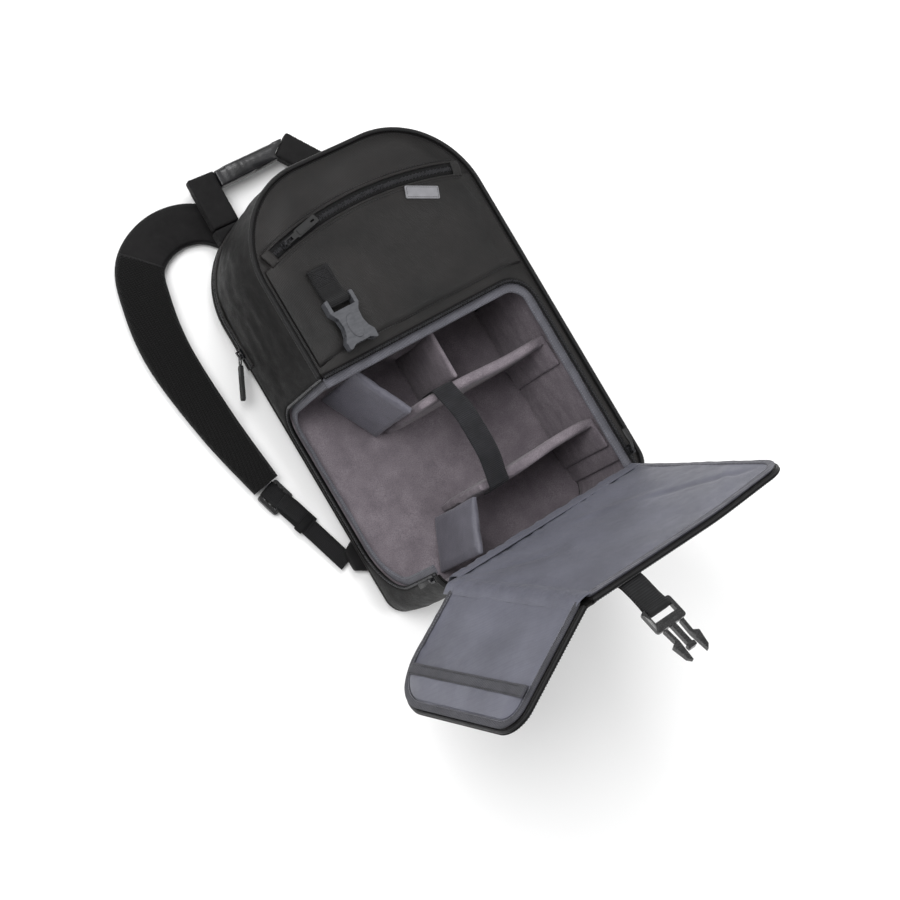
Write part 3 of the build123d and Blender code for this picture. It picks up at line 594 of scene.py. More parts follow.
class Look:
    """One procedural material: a Principled shader and the nodes that feed it."""

    def __init__(self, name, roughness, sheen=0.0, sheen_rough=0.5, coat=0.0, metallic=0.0, specular=0.5):
        self.material = bpy.data.materials.new(name)
        self.material.use_nodes = True
        self.tree = self.material.node_tree
        self.shader = self.tree.nodes["Principled BSDF"]
        self.shader.inputs["Roughness"].default_value = roughness
        self.shader.inputs["Metallic"].default_value = metallic
        self.shader.inputs["Specular IOR Level"].default_value = specular
        self.shader.inputs["Sheen Weight"].default_value = sheen
        self.shader.inputs["Sheen Roughness"].default_value = sheen_rough
        self.shader.inputs["Coat Weight"].default_value = coat
        self.shader.inputs["Coat Roughness"].default_value = 0.25
        self.place = self.tree.nodes.new("ShaderNodeTexCoord").outputs["Object"]
        self.normal = None

    def node(self, kind, links=(), **settings):
        """A new node with some settings, fed by (socket, link or value) pairs."""
        made = self.tree.nodes.new(kind)
        for key, value in settings.items():
            setattr(made, key, value)
        for socket, value in links:
            if isinstance(value, bpy.types.NodeSocket):
                self.tree.links.new(value, made.inputs[socket])
            else:
                made.inputs[socket].default_value = value
        return made

    def vector_math(self, operation, *values):
        """A vector maths node fed by sockets and constants, in the order given."""
        return self.node("ShaderNodeVectorMath", list(enumerate(values)), operation=operation)

    def scaled(self, scales):
        """Places on the piece, each axis multiplied by its scale."""
        return self.vector_math("MULTIPLY", self.place, tuple(scales)).outputs[0]

    def ramp(self, source, low, high, least=0.0, most=1.0):
        """A number that goes from least to most as source goes from low to high."""
        values = {"Value": source, "From Min": low, "From Max": high, "To Min": least, "To Max": most}
        return self.node("ShaderNodeMapRange", values.items()).outputs["Result"]

    def noise(self, size, detail=3.0, stretch=(1, 1, 1), rough=0.55):
        """Noise with features of that size in millimetres."""
        place = self.scaled(s / (size * MM) for s in stretch)
        links = [("Vector", place), ("Scale", 1.0), ("Detail", detail), ("Roughness", rough)]
        return self.node("ShaderNodeTexNoise", links).outputs["Fac"]

    def weave(self, period, shares=(1, 1, 1)):
        """Crossed threads a period apart in millimetres; a share under 1 stretches them along its axis."""
        angles = self.scaled(2 * math.pi / (period * MM) * share for share in shares)
        sines = self.vector_math("SINE", angles)
        cosines = self.vector_math("COSINE", angles)
        x, y, z = self.node("ShaderNodeSeparateXYZ", [(0, cosines.outputs[0])]).outputs
        turned = self.node("ShaderNodeCombineXYZ", [(0, y), (1, z), (2, x)])
        return self.vector_math("DOT_PRODUCT", sines.outputs[0], turned.outputs[0]).outputs["Value"]

    def ribs(self, direction, period):
        """Ribs that repeat every period millimetres along a direction."""
        scales = tuple(np.array(direction) * 2 * math.pi / (period * MM))
        along = self.vector_math("DOT_PRODUCT", self.place, scales)
        return self.node("ShaderNodeMath", [(0, along.outputs["Value"])], operation="SINE").outputs[0]

    def spread(self, source, low, high, first, second):
        """A colour that runs from first to second as source goes from low to high."""
        links = [(0, self.ramp(source, low, high)), (6, first), (7, second)]
        return self.node("ShaderNodeMix", links, data_type="RGBA").outputs[2]

    def colour(self, socket):
        """Sets the base colour."""
        self.tree.links.new(socket, self.shader.inputs["Base Color"])

    def bump(self, height, depth, strength=1.0):
        """Adds relief of depth millimetres."""
        links = [("Height", height), ("Strength", strength), ("Distance", depth * MM)]
        if self.normal is not None:
            links.append(("Normal", self.normal))
        self.normal = self.node("ShaderNodeBump", links).outputs["Normal"]
        self.tree.links.new(self.normal, self.shader.inputs["Normal"])

    def rough(self, source, low, high, least, most):
        """Lets roughness run from least to most as source goes from low to high."""
        self.tree.links.new(self.ramp(source, low, high, least, most), self.shader.inputs["Roughness"])


def cloth_look(
    name, dark, light, period, depth, roughness,
    sheen=0.03, crease=0.2, mottle=22.0, specular=0.3, shares=(1, 1, 1),
):
    """Woven cloth: crossed threads with painted shade between them, uneven dye over a hand's width, faint
    creases.
    """
    look = Look(name, roughness, sheen=sheen, specular=specular)
    threads = look.weave(period, shares)
    uneven = look.noise(mottle, detail=4.0)
    base = look.spread(uneven, 0.32, 0.68, dark, light)
    # Painted shade: the hollows between the threads are coloured darker.
    look.colour(look.spread(threads, -2.2, 1.6, darker(dark, 0.72), base))
    look.bump(look.noise(38.0, detail=3.0, stretch=(1, 0.6, 1)), crease, 0.7)
    look.bump(threads, depth, 0.6)
    look.rough(look.noise(9.0), 0.3, 0.7, max(roughness - 0.07, 0.05), min(roughness + 0.07, 1.0))
    return look.material


def fleece_look(name, dark, light):
    """Brushed fleece: short soft nap with painted shade where it is low, and streaks where it was stroked."""
    look = Look(name, 0.95, sheen=0.15, sheen_rough=0.35, specular=0.1)
    nap = look.noise(1.1, detail=5.0, rough=0.7)
    streaks = look.noise(26.0, detail=5.0, stretch=(1, 1, 2.2), rough=0.65)
    base = look.spread(streaks, 0.3, 0.7, dark, light)
    # Painted shade: the low parts of the nap are coloured darker.
    look.colour(look.spread(nap, 0.28, 0.6, darker(dark, 0.66), base))
    look.bump(streaks, 0.5, 0.5)
    look.bump(nap, 0.55, 0.8)
    return look.material


def webbing_look(name, dark, light, direction, period, roughness=0.6, sheen=0.05):
    """Woven webbing: ribs across its length, each rib a row of threads, with painted shade between the ribs.
    """
    look = Look(name, roughness, sheen=sheen, specular=0.22)
    ribs = look.ribs(direction, period)
    threads = look.weave(period * 0.62)
    base = look.spread(look.noise(14.0), 0.32, 0.68, dark, light)
    # Painted shade: the valleys between the ribs are coloured darker.
    look.colour(look.spread(ribs, -1.3, 0.5, darker(dark, 0.55), base))
    look.bump(threads, 0.12, 0.5)
    look.bump(ribs, 0.3, 0.8)
    return look.material


def black_webbing(name, direction, dark=shade(19, 19, 20), light=shade(31, 31, 33)):
    """Black webbing whose length runs along a direction."""
    return webbing_look(name, dark, light, direction, period=1.7, roughness=0.62, sheen=0.04)


def air_mesh_look(name):
    """Spacer mesh: rows of small round holes, filled with near-black painted shade, in a dark knit."""
    look = Look(name, 0.85, sheen=0.05, specular=0.12)
    holes = look.weave(2.2)
    knit = look.noise(1.2, detail=4.0)
    base = look.spread(knit, 0.3, 0.7, shade(14, 14, 14), shade(25, 25, 25))
    # Painted shade: the holes are coloured near black.
    look.colour(look.spread(holes, -1.2, 0.4, shade(5, 5, 5), base))
    look.bump(holes, 0.45, 0.7)
    look.bump(knit, 0.25, 0.6)
    return look.material


def plastic_look(name, dark, light, roughness, coat=0.0):
    """Moulded plastic: a fine spark-eroded grain, with faint handling marks."""
    look = Look(name, roughness, coat=coat, specular=0.5)
    grain = look.noise(0.7, detail=4.0)
    marks = look.noise(7.0, detail=5.0, stretch=(1, 3, 1), rough=0.7)
    look.colour(look.spread(marks, 0.35, 0.72, dark, light))
    look.rough(marks, 0.35, 0.7, roughness - 0.06, roughness + 0.12)
    look.bump(grain, 0.06, 0.5)
    return look.material


def leather_look(name, dark, light):
    """Grained leather-like grip: pebbled cells and a soft gloss."""
    look = Look(name, 0.36, coat=0.25, specular=0.55)
    pebble_size = 1.9 * MM
    place = look.scaled([1 / pebble_size] * 3)
    pebbles = look.node("ShaderNodeTexVoronoi", [("Vector", place), ("Scale", 1.0)]).outputs["Distance"]
    look.colour(look.spread(look.noise(11.0), 0.3, 0.7, dark, light))
    look.bump(look.noise(15.0, detail=4.0), 0.7, 0.6)
    look.bump(pebbles, -0.22, 0.7)
    look.rough(pebbles, 0.1, 0.8, 0.3, 0.46)
    return look.material


def metal_look(name, dark, light, roughness):
    """Enamelled zip metal, worn a little brighter in places."""
    look = Look(name, roughness, metallic=0.85, coat=0.2, specular=0.5)
    worn = look.noise(2.6, detail=5.0, rough=0.7)
    look.colour(look.spread(worn, 0.45, 0.75, dark, light))
    look.rough(worn, 0.4, 0.7, roughness, roughness + 0.15)
    look.bump(look.noise(0.8), 0.04, 0.5)
    return look.material


shell = cloth_look(
    "shell_fabric", shade(13, 12, 12), shade(36, 33, 32), period=1.5, depth=0.14, roughness=0.4,
    crease=0.9, mottle=80.0, specular=0.26, shares=(1, 1, 0.08),
)
# Painted shade: the shell's black cloth again, coloured darker for the left side panel.
shaded_shell = cloth_look(
    "gusset_fabric_painted_shade", shade(13, 12, 12), shade(21, 20, 20), period=1.5, depth=0.05, roughness=0.5,
    sheen=0.02, crease=1.1, mottle=60.0, specular=0.09,
)
cover = cloth_look(
    "strap_fabric", shade(17, 16, 17), shade(24, 23, 24), period=1.3, depth=0.14, roughness=0.6,
    crease=0.6, specular=0.16,
)
fleece = fleece_look("fleece", shade(108, 101, 107), shade(138, 130, 136))
satin = cloth_look(
    "divider_nylon", shade(84, 83, 93), shade(106, 105, 116), period=0.9, depth=0.06, roughness=0.4,
    sheen=0.1, crease=0.9, mottle=30.0, specular=0.45,
)
lining = cloth_look(
    "lid_lining", shade(80, 81, 92), shade(104, 105, 118), period=1.1, depth=0.08, roughness=0.48,
    sheen=0.08, crease=0.8, mottle=60.0, specular=0.35, shares=(1, 0.15, 1),
)
binding = webbing_look(
    "binding_tape", shade(88, 88, 95), shade(108, 108, 116), (0.7, 0.6, 0.4), 1.4, sheen=0.1
)
side_binding = webbing_look(
    "side_binding", shade(58, 58, 64), shade(74, 74, 81), (0.5, 0.7, 0.5), 1.4, sheen=0.08
)
piping = cloth_look(
    "piping", shade(12, 12, 13), shade(20, 19, 20), period=1.1, depth=0.12, roughness=0.45,
    mottle=9.0, specular=0.25,
)
tape = cloth_look(
    "zip_tape", shade(11, 11, 12), shade(17, 17, 18), period=1.2, depth=0.15, roughness=0.6,
    mottle=8.0, specular=0.15,
)
coil = plastic_look("zip_coil", shade(34, 34, 36), shade(56, 56, 59), 0.3)
black_plastic = plastic_look("black_plastic", shade(10, 10, 11), shade(18, 18, 19), 0.24, coat=0.2)
grey_plastic = plastic_look("grey_plastic", shade(66, 67, 71), shade(80, 81, 85), 0.36)
rubber = plastic_look("rubber_pull", shade(12, 12, 13), shade(20, 20, 21), 0.55)
leather = leather_look("grip_leather", shade(16, 16, 18), shade(28, 28, 31))
enamel = metal_look("zip_metal", shade(22, 22, 24), shade(84, 84, 88), 0.32)
air_mesh = air_mesh_look("air_mesh")
stretch = cloth_look(
    "stretch_mesh", shade(15, 15, 16), shade(25, 25, 26), period=2.6, depth=0.5, roughness=0.75,
    sheen=0.04, crease=0.4, specular=0.15,
)
stiffener = plastic_look("stiffener", shade(40, 40, 42), shade(52, 52, 54), 0.6)
THREAD_LAY = (0.6, 0.6, 0.5)
THREAD_PERIOD = 0.5
thread = webbing_look("thread", shade(38, 37, 39), shade(56, 55, 57), THREAD_LAY, THREAD_PERIOD, 0.55)
pale_thread = webbing_look(
    "pale_thread", shade(128, 128, 136), shade(150, 150, 158), THREAD_LAY, THREAD_PERIOD, 0.55
)
patch_cloth = cloth_look(
    "patch", shade(122, 122, 126), shade(140, 140, 144), period=1.0, depth=0.1, roughness=0.5,
    sheen=0.2, crease=0.1, mottle=9.0,
)
gear_web = webbing_look("gear_webbing", shade(28, 28, 31), shade(42, 42, 46), (0, 1, 0.15), 1.9)


# ------------ giving pieces their place and finish


def dress(piece, material, body, replaced=()):
    """Gives a piece its material and its body (none when body is None), and hides the nodes it stands for."""
    piece.data.materials.clear()
    piece.data.materials.append(material)
    if body:
        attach(piece, body)
    if replaced:
        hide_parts(*replaced)
    return piece


def keep_node(node, material, edge=0.45):
    """A CAD node that stays, with a better material and a small radius on its edges."""
    piece = nodes[node]
    piece.data.materials.clear()
    piece.data.materials.append(material)
    piece.modifiers.new("weld", "WELD").merge_threshold = 1e-5
    if edge:
        bevel = piece.modifiers.new("edge", "BEVEL")
        bevel.width = edge * MM
        bevel.segments = 2
        bevel.limit_method = "ANGLE"
        bevel.angle_limit = math.radians(35)
        bevel.harden_normals = True


def zip_line(name, path, ups, body, replaced, width, pitch=1.5, teeth=(1.0, 2.0, 1.5)):
    """Half a zip or a whole one: a tape with a rolled edge, and a row of teeth on it."""
    cloth = ribbon(f"{name}_tape", path, ups, width, 1.0, columns=5)
    dress(cloth, tape, body, replaced)
    row = beads(f"{name}_teeth", path, ups, pitch, teeth, offsets=(-0.35, 0.35), rise=0.9)
    dress(row, coil, body)


def stitch(name, path, ups, body, material=None, pitch=3.2, size=(2.1, 0.55, 0.5)):
    """A row of thread along a path."""
    row = beads(name, divide(path, 2.0, closed=False), ups, pitch, size, rise=0.15)
    return dress(row, material or thread, body)


# ------------ back

BACK_PAD_HALF = 105.0
BACK_PAD_RADIUS = 24.0
BACK_PAD_THICK = 10.0
BACK_CHANNEL = 30.0


def back_pad_relief(flat, distance):
    """Sewn channels across the back pads, and a crown between them."""
    groove = np.abs((flat[:, 1] + 400) % BACK_CHANNEL - BACK_CHANNEL / 2) / (BACK_CHANNEL / 2)
    return -2.6 * smoothstep((groove - 0.72) / 0.28) * smoothstep(distance / 8)


def facing_back(points):
    """Takes panel points whose out is measured towards the wearer's back."""
    points = np.asarray(points, float)
    return np.column_stack([points[:, :2], BACK_PAD_THICK - points[:, 2]])


for number, (low, high) in enumerate(((-18, 162), (-210, -34))):
    outline = rounded(rectangle(-BACK_PAD_HALF, low, BACK_PAD_HALF, high, BACK_PAD_RADIUS))
    pad = panel(f"back_pad_{number}", outline, facing_back, 0, BACK_PAD_THICK, edge=7, relief=back_pad_relief)
    dress(pad, air_mesh, "bag", ["back_pads"])
    rim = tube(f"back_pad_piping_{number}", at_level(outline, 9.0), UP, 1.3, closed=True)
    dress(rim, piping, "bag")


def shell_waves(flat, distance):
    """Soft unevenness of cloth over foam."""
    return 0.7 * field(at_level(flat), 45, 3) * smoothstep(distance / 15)


back = panel("back_cloth", silhouette(0.5), on_front, BACK_PAD_THICK, 16, cell=8)
dress(back, shell, "bag", ["back_panel"])
back_lining = panel("back_lining", silhouette(6.5), on_front, 18, FLOOR_LEVEL, relief=shell_waves, cell=6)
dress(back_lining, fleece, "bag", ["back_liner"])
keep_node("frame_sheet", stiffener, edge=0)

# ------------ gusset


def left_distance(y):
    """Distance round the bag's edge to a height on its left side."""
    return LEFT_FOOT - (y - BOTTOM - BOTTOM_RADIUS)


def gusset_relief(flat, distance):
    """The side bulges between its seams and is dented by what it holds."""
    points = round_the_bag(at_level(flat))
    belly = 3.2 * smoothstep(distance / 45)
    dents = 2.1 * field(points * (1, 1, 0.55), 62, 5) + 0.8 * field(points * (0.6, 1, 1.5), 21, 6)
    return belly + dents * smoothstep(distance / 22)


cut = side_opening(0.0, front=FRONT_BASE + 20)
cut = np.column_stack([left_distance(cut[:, 0]), cut[:, 1]])
wall = divide([(0, BACK), (RING_LENGTH, BACK), (RING_LENGTH, FRONT_BASE + 3), (0, FRONT_BASE + 3)], 5)
gusset = panel("gusset_cloth", wall, round_the_bag, -6, 0, [cut], 5.0, relief=gusset_relief)
# The side panel wears the shell cloth darkened as painted shade.
dress(gusset, shaded_shell, "bag", ["gusset"])

# ------------ front panel and pocket

EDGE_FALL = 5.0
EDGE_REACH = 34.0


def edge_fall(points):
    """How far the stuffed front drops towards the bag's outline."""
    outline = silhouette(0.0, 6.0)
    gap = edge_distance(np.asarray(points)[:, :2], outline, np.roll(outline, -1, 0))
    return EDGE_FALL * (1 - smoothstep(gap / EDGE_REACH)) ** 1.3


def front_waves(points):
    """Dents and drags in the front's cloth, gathered at the closing strap's patch."""
    points = at_level(points)
    pull = np.exp(-(((points[:, 0] - BUCKLE_X) / 46) ** 2 + ((points[:, 1] - 70) / 40) ** 2))
    drags = field(points * (1, 0.35, 1) @ np.array([[0.9, 0.4, 0], [-0.4, 0.9, 0], [0, 0, 1]]), 17, 11)
    broad = 3.2 * field(points, 70, 8) + 1.1 * field(points, 30, 9)
    return broad + 3.6 * pull * drags


def front_relief(flat, distance):
    """The front panel's face, lower at the outline and held flat at the opening."""
    return -edge_fall(flat) + front_waves(flat) * smoothstep(distance / 18) - 0.4


front = panel(
    "front_cloth", silhouette(1.0), on_front, FRONT_BASE, DEPTH, [front_opening()], 4.0, 3.0, front_relief
)
dress(front, shell, "bag", ["front_panel"])

edge = silhouette(-0.6, 3.0)
kept = ~((edge[:, 0] < LEFT + 8) & (edge[:, 1] < OPEN_TOP) & (edge[:, 1] > SIDE_LOW + 2))
start = int(np.argmax(~kept)) + int(np.argmin(~kept[int(np.argmax(~kept)) :]))
edge = np.roll(edge, -start, 0)[: int(kept.sum())]
front_cord = tube("front_piping_cord", at_level(edge, DEPTH - EDGE_FALL + 0.6), UP, 2.3)
dress(front_cord, piping, "bag", ["front_piping"])
lip = silhouette(4.2, 3.0)
lip = lip[lip[:, 1] > OPEN_TOP + 4]
lip = lip[np.argsort(np.arctan2(lip[:, 0], lip[:, 1] - 60))]
stitch("front_edge_stitch", at_level(lip, DEPTH - edge_fall(lip) - 0.3), UP, "bag")

arch_centre = np.array((0.0, POCKET_ARCH_TOP - POCKET_ARCH))


def arch(radius, reach, step=3.0):
    """Points on the pocket zip's arch, for reach degrees to each side, from left to right."""
    turns = np.radians(np.linspace(-reach, reach, max(4, int(radius * math.radians(2 * reach) / step))))
    return arch_centre + radius * np.stack([np.sin(turns), np.cos(turns)], 1)


pocket_cut = np.vstack([arch(POCKET_ARCH - 5.5, 40, 6.0), [(300, 500), (-300, 500)]])
below = np.array([(-300, OPEN_TOP + 9), (-300, -400), (300, -400), (300, OPEN_TOP + 9)], float)


def pocket_relief(flat, distance):
    """The pocket's face: stuffed in its middle, falling to the bag's outline with the front panel."""
    slack = 1.6 * smoothstep(distance / 40)
    return -edge_fall(flat) * 0.9 + (front_waves(flat) + slack) * smoothstep(distance / 16) - 0.6


pocket = panel(
    "pocket_cloth", silhouette(6.0), on_front, DEPTH - 1.5, POCKET_TOP, [pocket_cut, below], 4.0, 2.0,
    pocket_relief, under=lambda flat, distance: -edge_fall(flat),
)
dress(pocket, shell, "bag", ["pocket_panel"])
seam = divide([(-126, OPEN_TOP + 12), (118, OPEN_TOP + 12)], 4, closed=False)
seam = at_level(seam, POCKET_TOP - 0.2 - edge_fall(seam) * 0.9)
stitch("pocket_hem_stitch", seam, UP, "bag")

line = arch(POCKET_ARCH, 16.0, 2.0)
zip_path = at_level(line, DEPTH + 0.7 - edge_fall(line) * 0.8)
zip_line("pocket_zip", zip_path, UP, "bag", ["pocket_zip_track"], 12.0, 2.1, (1.25, 4.4, 2.3))
# Each welt's distance from the zip, and its stitches' distance and height
for name, welt_gap, stitch_gap, stitch_rise in (("lower", -7.5, -10.7, 2.9), ("upper", 7.5, 10.9, 0.3)):
    line = arch(POCKET_ARCH + welt_gap, 16.5, 2.0)
    line = at_level(line, DEPTH + 1.6 - edge_fall(line) * 0.8)
    dress(tube(f"pocket_zip_{name}_welt", line, UP, 1.5), shell, "bag")
    line = arch(POCKET_ARCH + stitch_gap, 16.5, 2.0)
    line = at_level(line, DEPTH + stitch_rise - edge_fall(line) * 0.85)
    stitch(f"pocket_zip_{name}_stitch", line, UP, "bag")

# Fabric garages that close the zip's two ends
for name, turn in (("left", -16.6), ("right", 16.3)):
    turn = math.radians(turn)
    middle = arch_centre + POCKET_ARCH * np.array((math.sin(turn), math.cos(turn)))
    ahead = np.array((math.cos(turn), -math.sin(turn)))
    sideways = np.array((math.sin(turn), math.cos(turn)))
    grid = []
    for along in np.linspace(-5, 5, 6):
        row = []
        for side in np.linspace(-9, 9, 9):
            x, y = middle + ahead * along + sideways * side
            fall = edge_fall(np.array([[x, y]]))[0] * 0.8
            row.append((x, y, DEPTH + 3.4 - 1.6 * (side / 9) ** 2 - fall))
        grid.append(row)
    dress(cloth_sheet(f"pocket_zip_{name}_garage", grid, 1.2), shell, "bag")

patch_low, patch_high = box_mm("blank_patch")
patch_middle = (patch_low + patch_high) / 2
patch_turn = math.radians(-24)
patch_outline = rounded(rectangle(-19, -7, 19, 7, 1.5), 1.5)


def on_patch(points):
    """Takes the patch's own points onto the stuffed pocket."""
    points = np.asarray(points, float)
    cosine, sine = math.cos(patch_turn), math.sin(patch_turn)
    flat = points[:, :2] @ np.array([[cosine, sine], [-sine, cosine]]) + patch_middle[:2]
    rise = POCKET_TOP + 1.7 - 0.9 * edge_fall(flat) + points[:, 2]
    return np.column_stack([flat, rise])


patch = panel("blank_patch_cloth", patch_outline, on_patch, -1.4, 0.9, cell=2.0, edge=0.7)
dress(patch, patch_cloth, "bag", ["blank_patch"])
patch_seam = on_patch(at_level(rounded(rectangle(-17.4, -5.4, 17.4, 5.4, 1), 1.5), 0.9))
stitch("blank_patch_stitch", patch_seam, UP, "bag", pitch=2.0, size=(1.3, 0.4, 0.4))

# ------------ opening: zip and binding tape


def ripple(points):
    """Tape that pulls in and out a little between its stitches."""
    return 0.9 * field(points, 15, 21) + 0.4 * field(points, 6, 22)


front_edge = at_level(front_opening(1.5, left=LEFT + 3, closed=False), DEPTH - 1.4)
zip_line("opening_zip", front_edge, UP, "bag", ["body_zip_track"], 4.6)
band = at_level(front_opening(7.2, left=LEFT + 4, closed=False), FRONT_BASE + 1.5)
front_band = ribbon("opening_binding_front", band, UP, 10.5, 2.0, 9, lift=ripple)
dress(front_band, binding, "bag", ["opening_binding"])
for number, inset in enumerate((3.4, 10.8)):
    line = at_level(front_opening(inset, left=LEFT + 5, closed=False), FRONT_BASE + 2.6)
    line[:, 2] += ripple(line)
    stitch(f"opening_binding_front_stitch_{number}", line, UP, "bag", pale_thread)


def on_side(line, depth):
    """Takes (Y, Z) points to the bag's left side, at a depth inside it."""
    return np.column_stack([np.full(len(line), LEFT + depth), line])


side_edge = on_side(side_opening(1.5, front=DEPTH - 4, closed=False), 1.2)
zip_line("side_zip", side_edge, LEFTWARD, "bag", (), 4.6)
band = on_side(side_opening(6.0, front=FRONT_BASE - 4, closed=False), 6.8)
side_band = ribbon("opening_binding_side", band, LEFTWARD, 9.5, 2.0, 9, lift=ripple)
dress(side_band, binding, "bag")
line = on_side(side_opening(9.5, front=FRONT_BASE - 4, closed=False), 5.6)
line[:, 0] -= ripple(line)
stitch("opening_binding_side_stitch", line, LEFTWARD, "bag", pale_thread)

# ------------ walls inside


def wall_panel(name, node, out, material, bulge):
    """A lining panel that fills a CAD slab, bulging along out, which is one axis with a sign."""
    low, high = box_mm(node)
    axis = int(np.argmax(np.abs(out)))
    sign = np.sign(out[axis])
    across, along = [i for i in range(3) if i != axis]
    base, face = (low[axis], high[axis]) if sign > 0 else (high[axis], low[axis])

    def place(points):
        made = np.zeros((len(points), 3))
        made[:, across], made[:, along] = points[:, 0], points[:, 1]
        made[:, axis] = base + sign * points[:, 2]
        return made

    def relief(flat, distance):
        soft = field(place(at_level(flat)), 40, 31 + axis)
        return (bulge * 0.5 + bulge * soft) * smoothstep(distance / 20)

    outline = rounded(rectangle(low[across], low[along], high[across], high[along], 3))
    piece = panel(name, outline, place, 0, abs(face - base), cell=6.0, relief=relief)
    dress(piece, material, "bag", [node])


wall_panel("ceiling_pad", "ceiling_panel", (0, -1, 0), shell, 0.4)
wall_panel("ceiling_lining", "ceiling_liner", (0, -1, 0), fleece, 0.8)
wall_panel("right_lining", "right_liner", (-1, 0, 0), fleece, 0.8)
wall_panel("bottom_lining", "bottom_liner", (0, 1, 0), fleece, 1.2)

# Fleece round the corner between the right and bottom linings, which stop short of it
corner = silhouette(5.5, 2.0)
corner = corner[(corner[:, 0] > 70) & (corner[:, 1] < -150)]
grid = [at_level(corner, z) for z in np.arange(FLOOR_LEVEL - 2, FRONT_BASE + 1, 4.0)]
dress(cloth_sheet("corner_lining", grid, 1.6), fleece, "bag")
sleeve = soft_copy("laptop_sleeve", "laptop_sleeve_pad", 1.4)
dress(sleeve, lining, "bag", ["laptop_sleeve"])

# ------------ dividers


def divider(node, body, material, bend=0.0):
    """A foam divider: its CAD solid remeshed, swollen as cloth, and pushed a little out of line."""
    piece = soft_copy(node, node + "_pad", 2.2, shrink=0.7, rounds=5)
    inflate(piece, 1.8, pressure=3.0)
    points = read_points(piece) / MM
    low, high = points.min(0), points.max(0)
    rise = smoothstep((points[:, 2] - low[2]) / (high[2] - low[2]))
    along = (points[:, 0] - low[0]) / max(high[0] - low[0], 1.0)
    points[:, 1] += bend * rise * np.sin(along * math.pi * 2)
    top = smoothstep((points[:, 2] - high[2] + 12) / 12)
    points[:, 2] += top * (1.2 * field(points * (1, 1, 0), 34, 41) - 0.6)
    write_points(piece, points * MM)
    dress(piece, material, body, [node])


divider("upper_divider", "bag", fleece, bend=1.5)
divider("lower_divider", "bag", fleece, bend=-1.8)
divider("battery_divider", "battery_divider", fleece)
divider("upper_left_divider", "bag", satin)
divider("lower_left_divider", "bag", satin)

# The gear strap arches over the drone from a tab on the upper divider to the lower divider's far face
(strap_left, near, foot), (strap_right, far, crest) = box_mm("gear_strap")
middle = (strap_left + strap_right) / 2
arc = [(far + 1.2, foot + 0.6), (far - 8, foot + 4.4), (far - 30, crest - 1.6)]
arc += [((near + far) / 2, crest + 0.2), (near + 30, crest - 1.6)]
arc += [(near + 8, foot + 4.4), (near - 1.6, foot - 0.5), (near - 2.6, foot - 18)]
arc = smooth_line([(middle, y, z) for y, z in arc], 2.5)
ups = unit(np.cross((1, 0, 0), tangents(arc)))
ups[ups[:, 2] < -0.2] *= -1
strap = ribbon("gear_strap_web", arc, ups, WEBBING, 1.9, 9, lift=lambda p: 0.5 * field(p, 18, 44))
dress(strap, gear_web, "gear_strap", ["gear_strap"])
tab = [(far + 0.2, foot + 1.4), (far + 2.4, foot - 0.4), (far + 3.2, foot - 6), (far + 3.2, foot - 26)]
tab = smooth_line([(middle, y, z) for y, z in tab], 2.5)
ups = unit(np.cross(tangents(tab), (1, 0, 0)))
dress(ribbon("gear_strap_tab", tab, ups, WEBBING, 1.8, 7), gear_web, "bag")

# ------------ lid

LID_CLOTH_THICK = 5.0


def crease(flat, start, end, depth, width):
    """A soft fold pressed into cloth between two points, fading towards its ends."""
    start, end = np.array(start, float), np.array(end, float)
    along = end - start
    share = (flat - start) @ along / (along @ along)
    gap = edge_distance(flat, [start], [end])
    return depth * np.exp(-((gap / width) ** 2)) * smoothstep(share * 4) * smoothstep((1 - share) * 4)


def lid_lining_relief(flat, distance):
    """Loose lining: broad puffs, and small gathers along the sewn edge."""
    points = at_level(flat)
    puffs = 2.0 * field(points, 75, 51) + 0.9 * field(points * (1, 0.5, 1), 30, 52)
    puffs += crease(flat, (40, 90), (112, 222), -2.2, 5) + crease(flat, (-10, 40), (70, 120), 1.6, 7)
    puffs += crease(flat, (-115, 30), (-60, 110), -1.8, 6) + crease(flat, (60, 214), (118, 150), 1.8, 6)
    gathers = field(points * (1, 0.12, 1), 5.0, 53) * np.exp(-((distance - 4) / 9) ** 2)
    near_hinge = np.exp(-(((flat[:, 1] - 12) / 16) ** 2)) * field(points * (1, 0.25, 1), 9.0, 54)
    return (puffs * smoothstep(distance / 16) + 0.9 * gathers + 2.0 * near_hinge) * smoothstep(distance / 3)


def facing_in(place, thick):
    """The same frame, with out measured from thick under the outer face towards the lining side."""
    return lambda points: place(np.column_stack([points[:, :2], -thick - points[:, 2]]))


def lid_shell_relief(flat, distance):
    """The lid's outer cloth over its foam."""
    points = at_level(flat)
    return (1.2 + 1.2 * field(points, 55, 56)) * smoothstep(distance / 22)


def lid_part(body, outline, place):
    """A lid panel: foam and shell outside, lining inside."""
    outer = panel(f"{body}_cloth", outline(6.2), place, -LID_CLOTH_THICK, 0, relief=lid_shell_relief)
    dress(outer, shell, body, [f"{body}_shell"])
    behind = facing_in(place, LID_CLOTH_THICK - 0.4)
    inner = panel(f"{body}_lining", outline(8.0), behind, 0, 3.4, cell=4.0, relief=lid_lining_relief)
    dress(inner, lining, body, [f"{body}_liner"])


lid_part("lid", lid_outline, on_lid)
lid_part("lid_side", side_outline, on_side_panel)


def lid_edge(inset):
    """The free edge of the lid's front panel, from the hinge's right end to the fold."""
    right, tip = OPEN_RIGHT - inset, LID_LENGTH - inset
    return rounded([(right, 6, 0), (right, tip, OPEN_RADIUS - inset), (LID_LEFT, tip, 0)], 3.0, closed=False)


def side_edge_line(inset):
    """The free edge of the lid's side panel, from the tip end of the fold round to its hinge end."""
    back, low, high = side_limits(inset)
    high_corner = (back, high, SIDE_HIGH_RADIUS - inset)
    low_corner = (back, low, SIDE_LOW_RADIUS - inset)
    return rounded([(FOLD_GAP, high, 0), high_corner, low_corner, (FOLD_GAP, low, 0)], 3.0, closed=False)


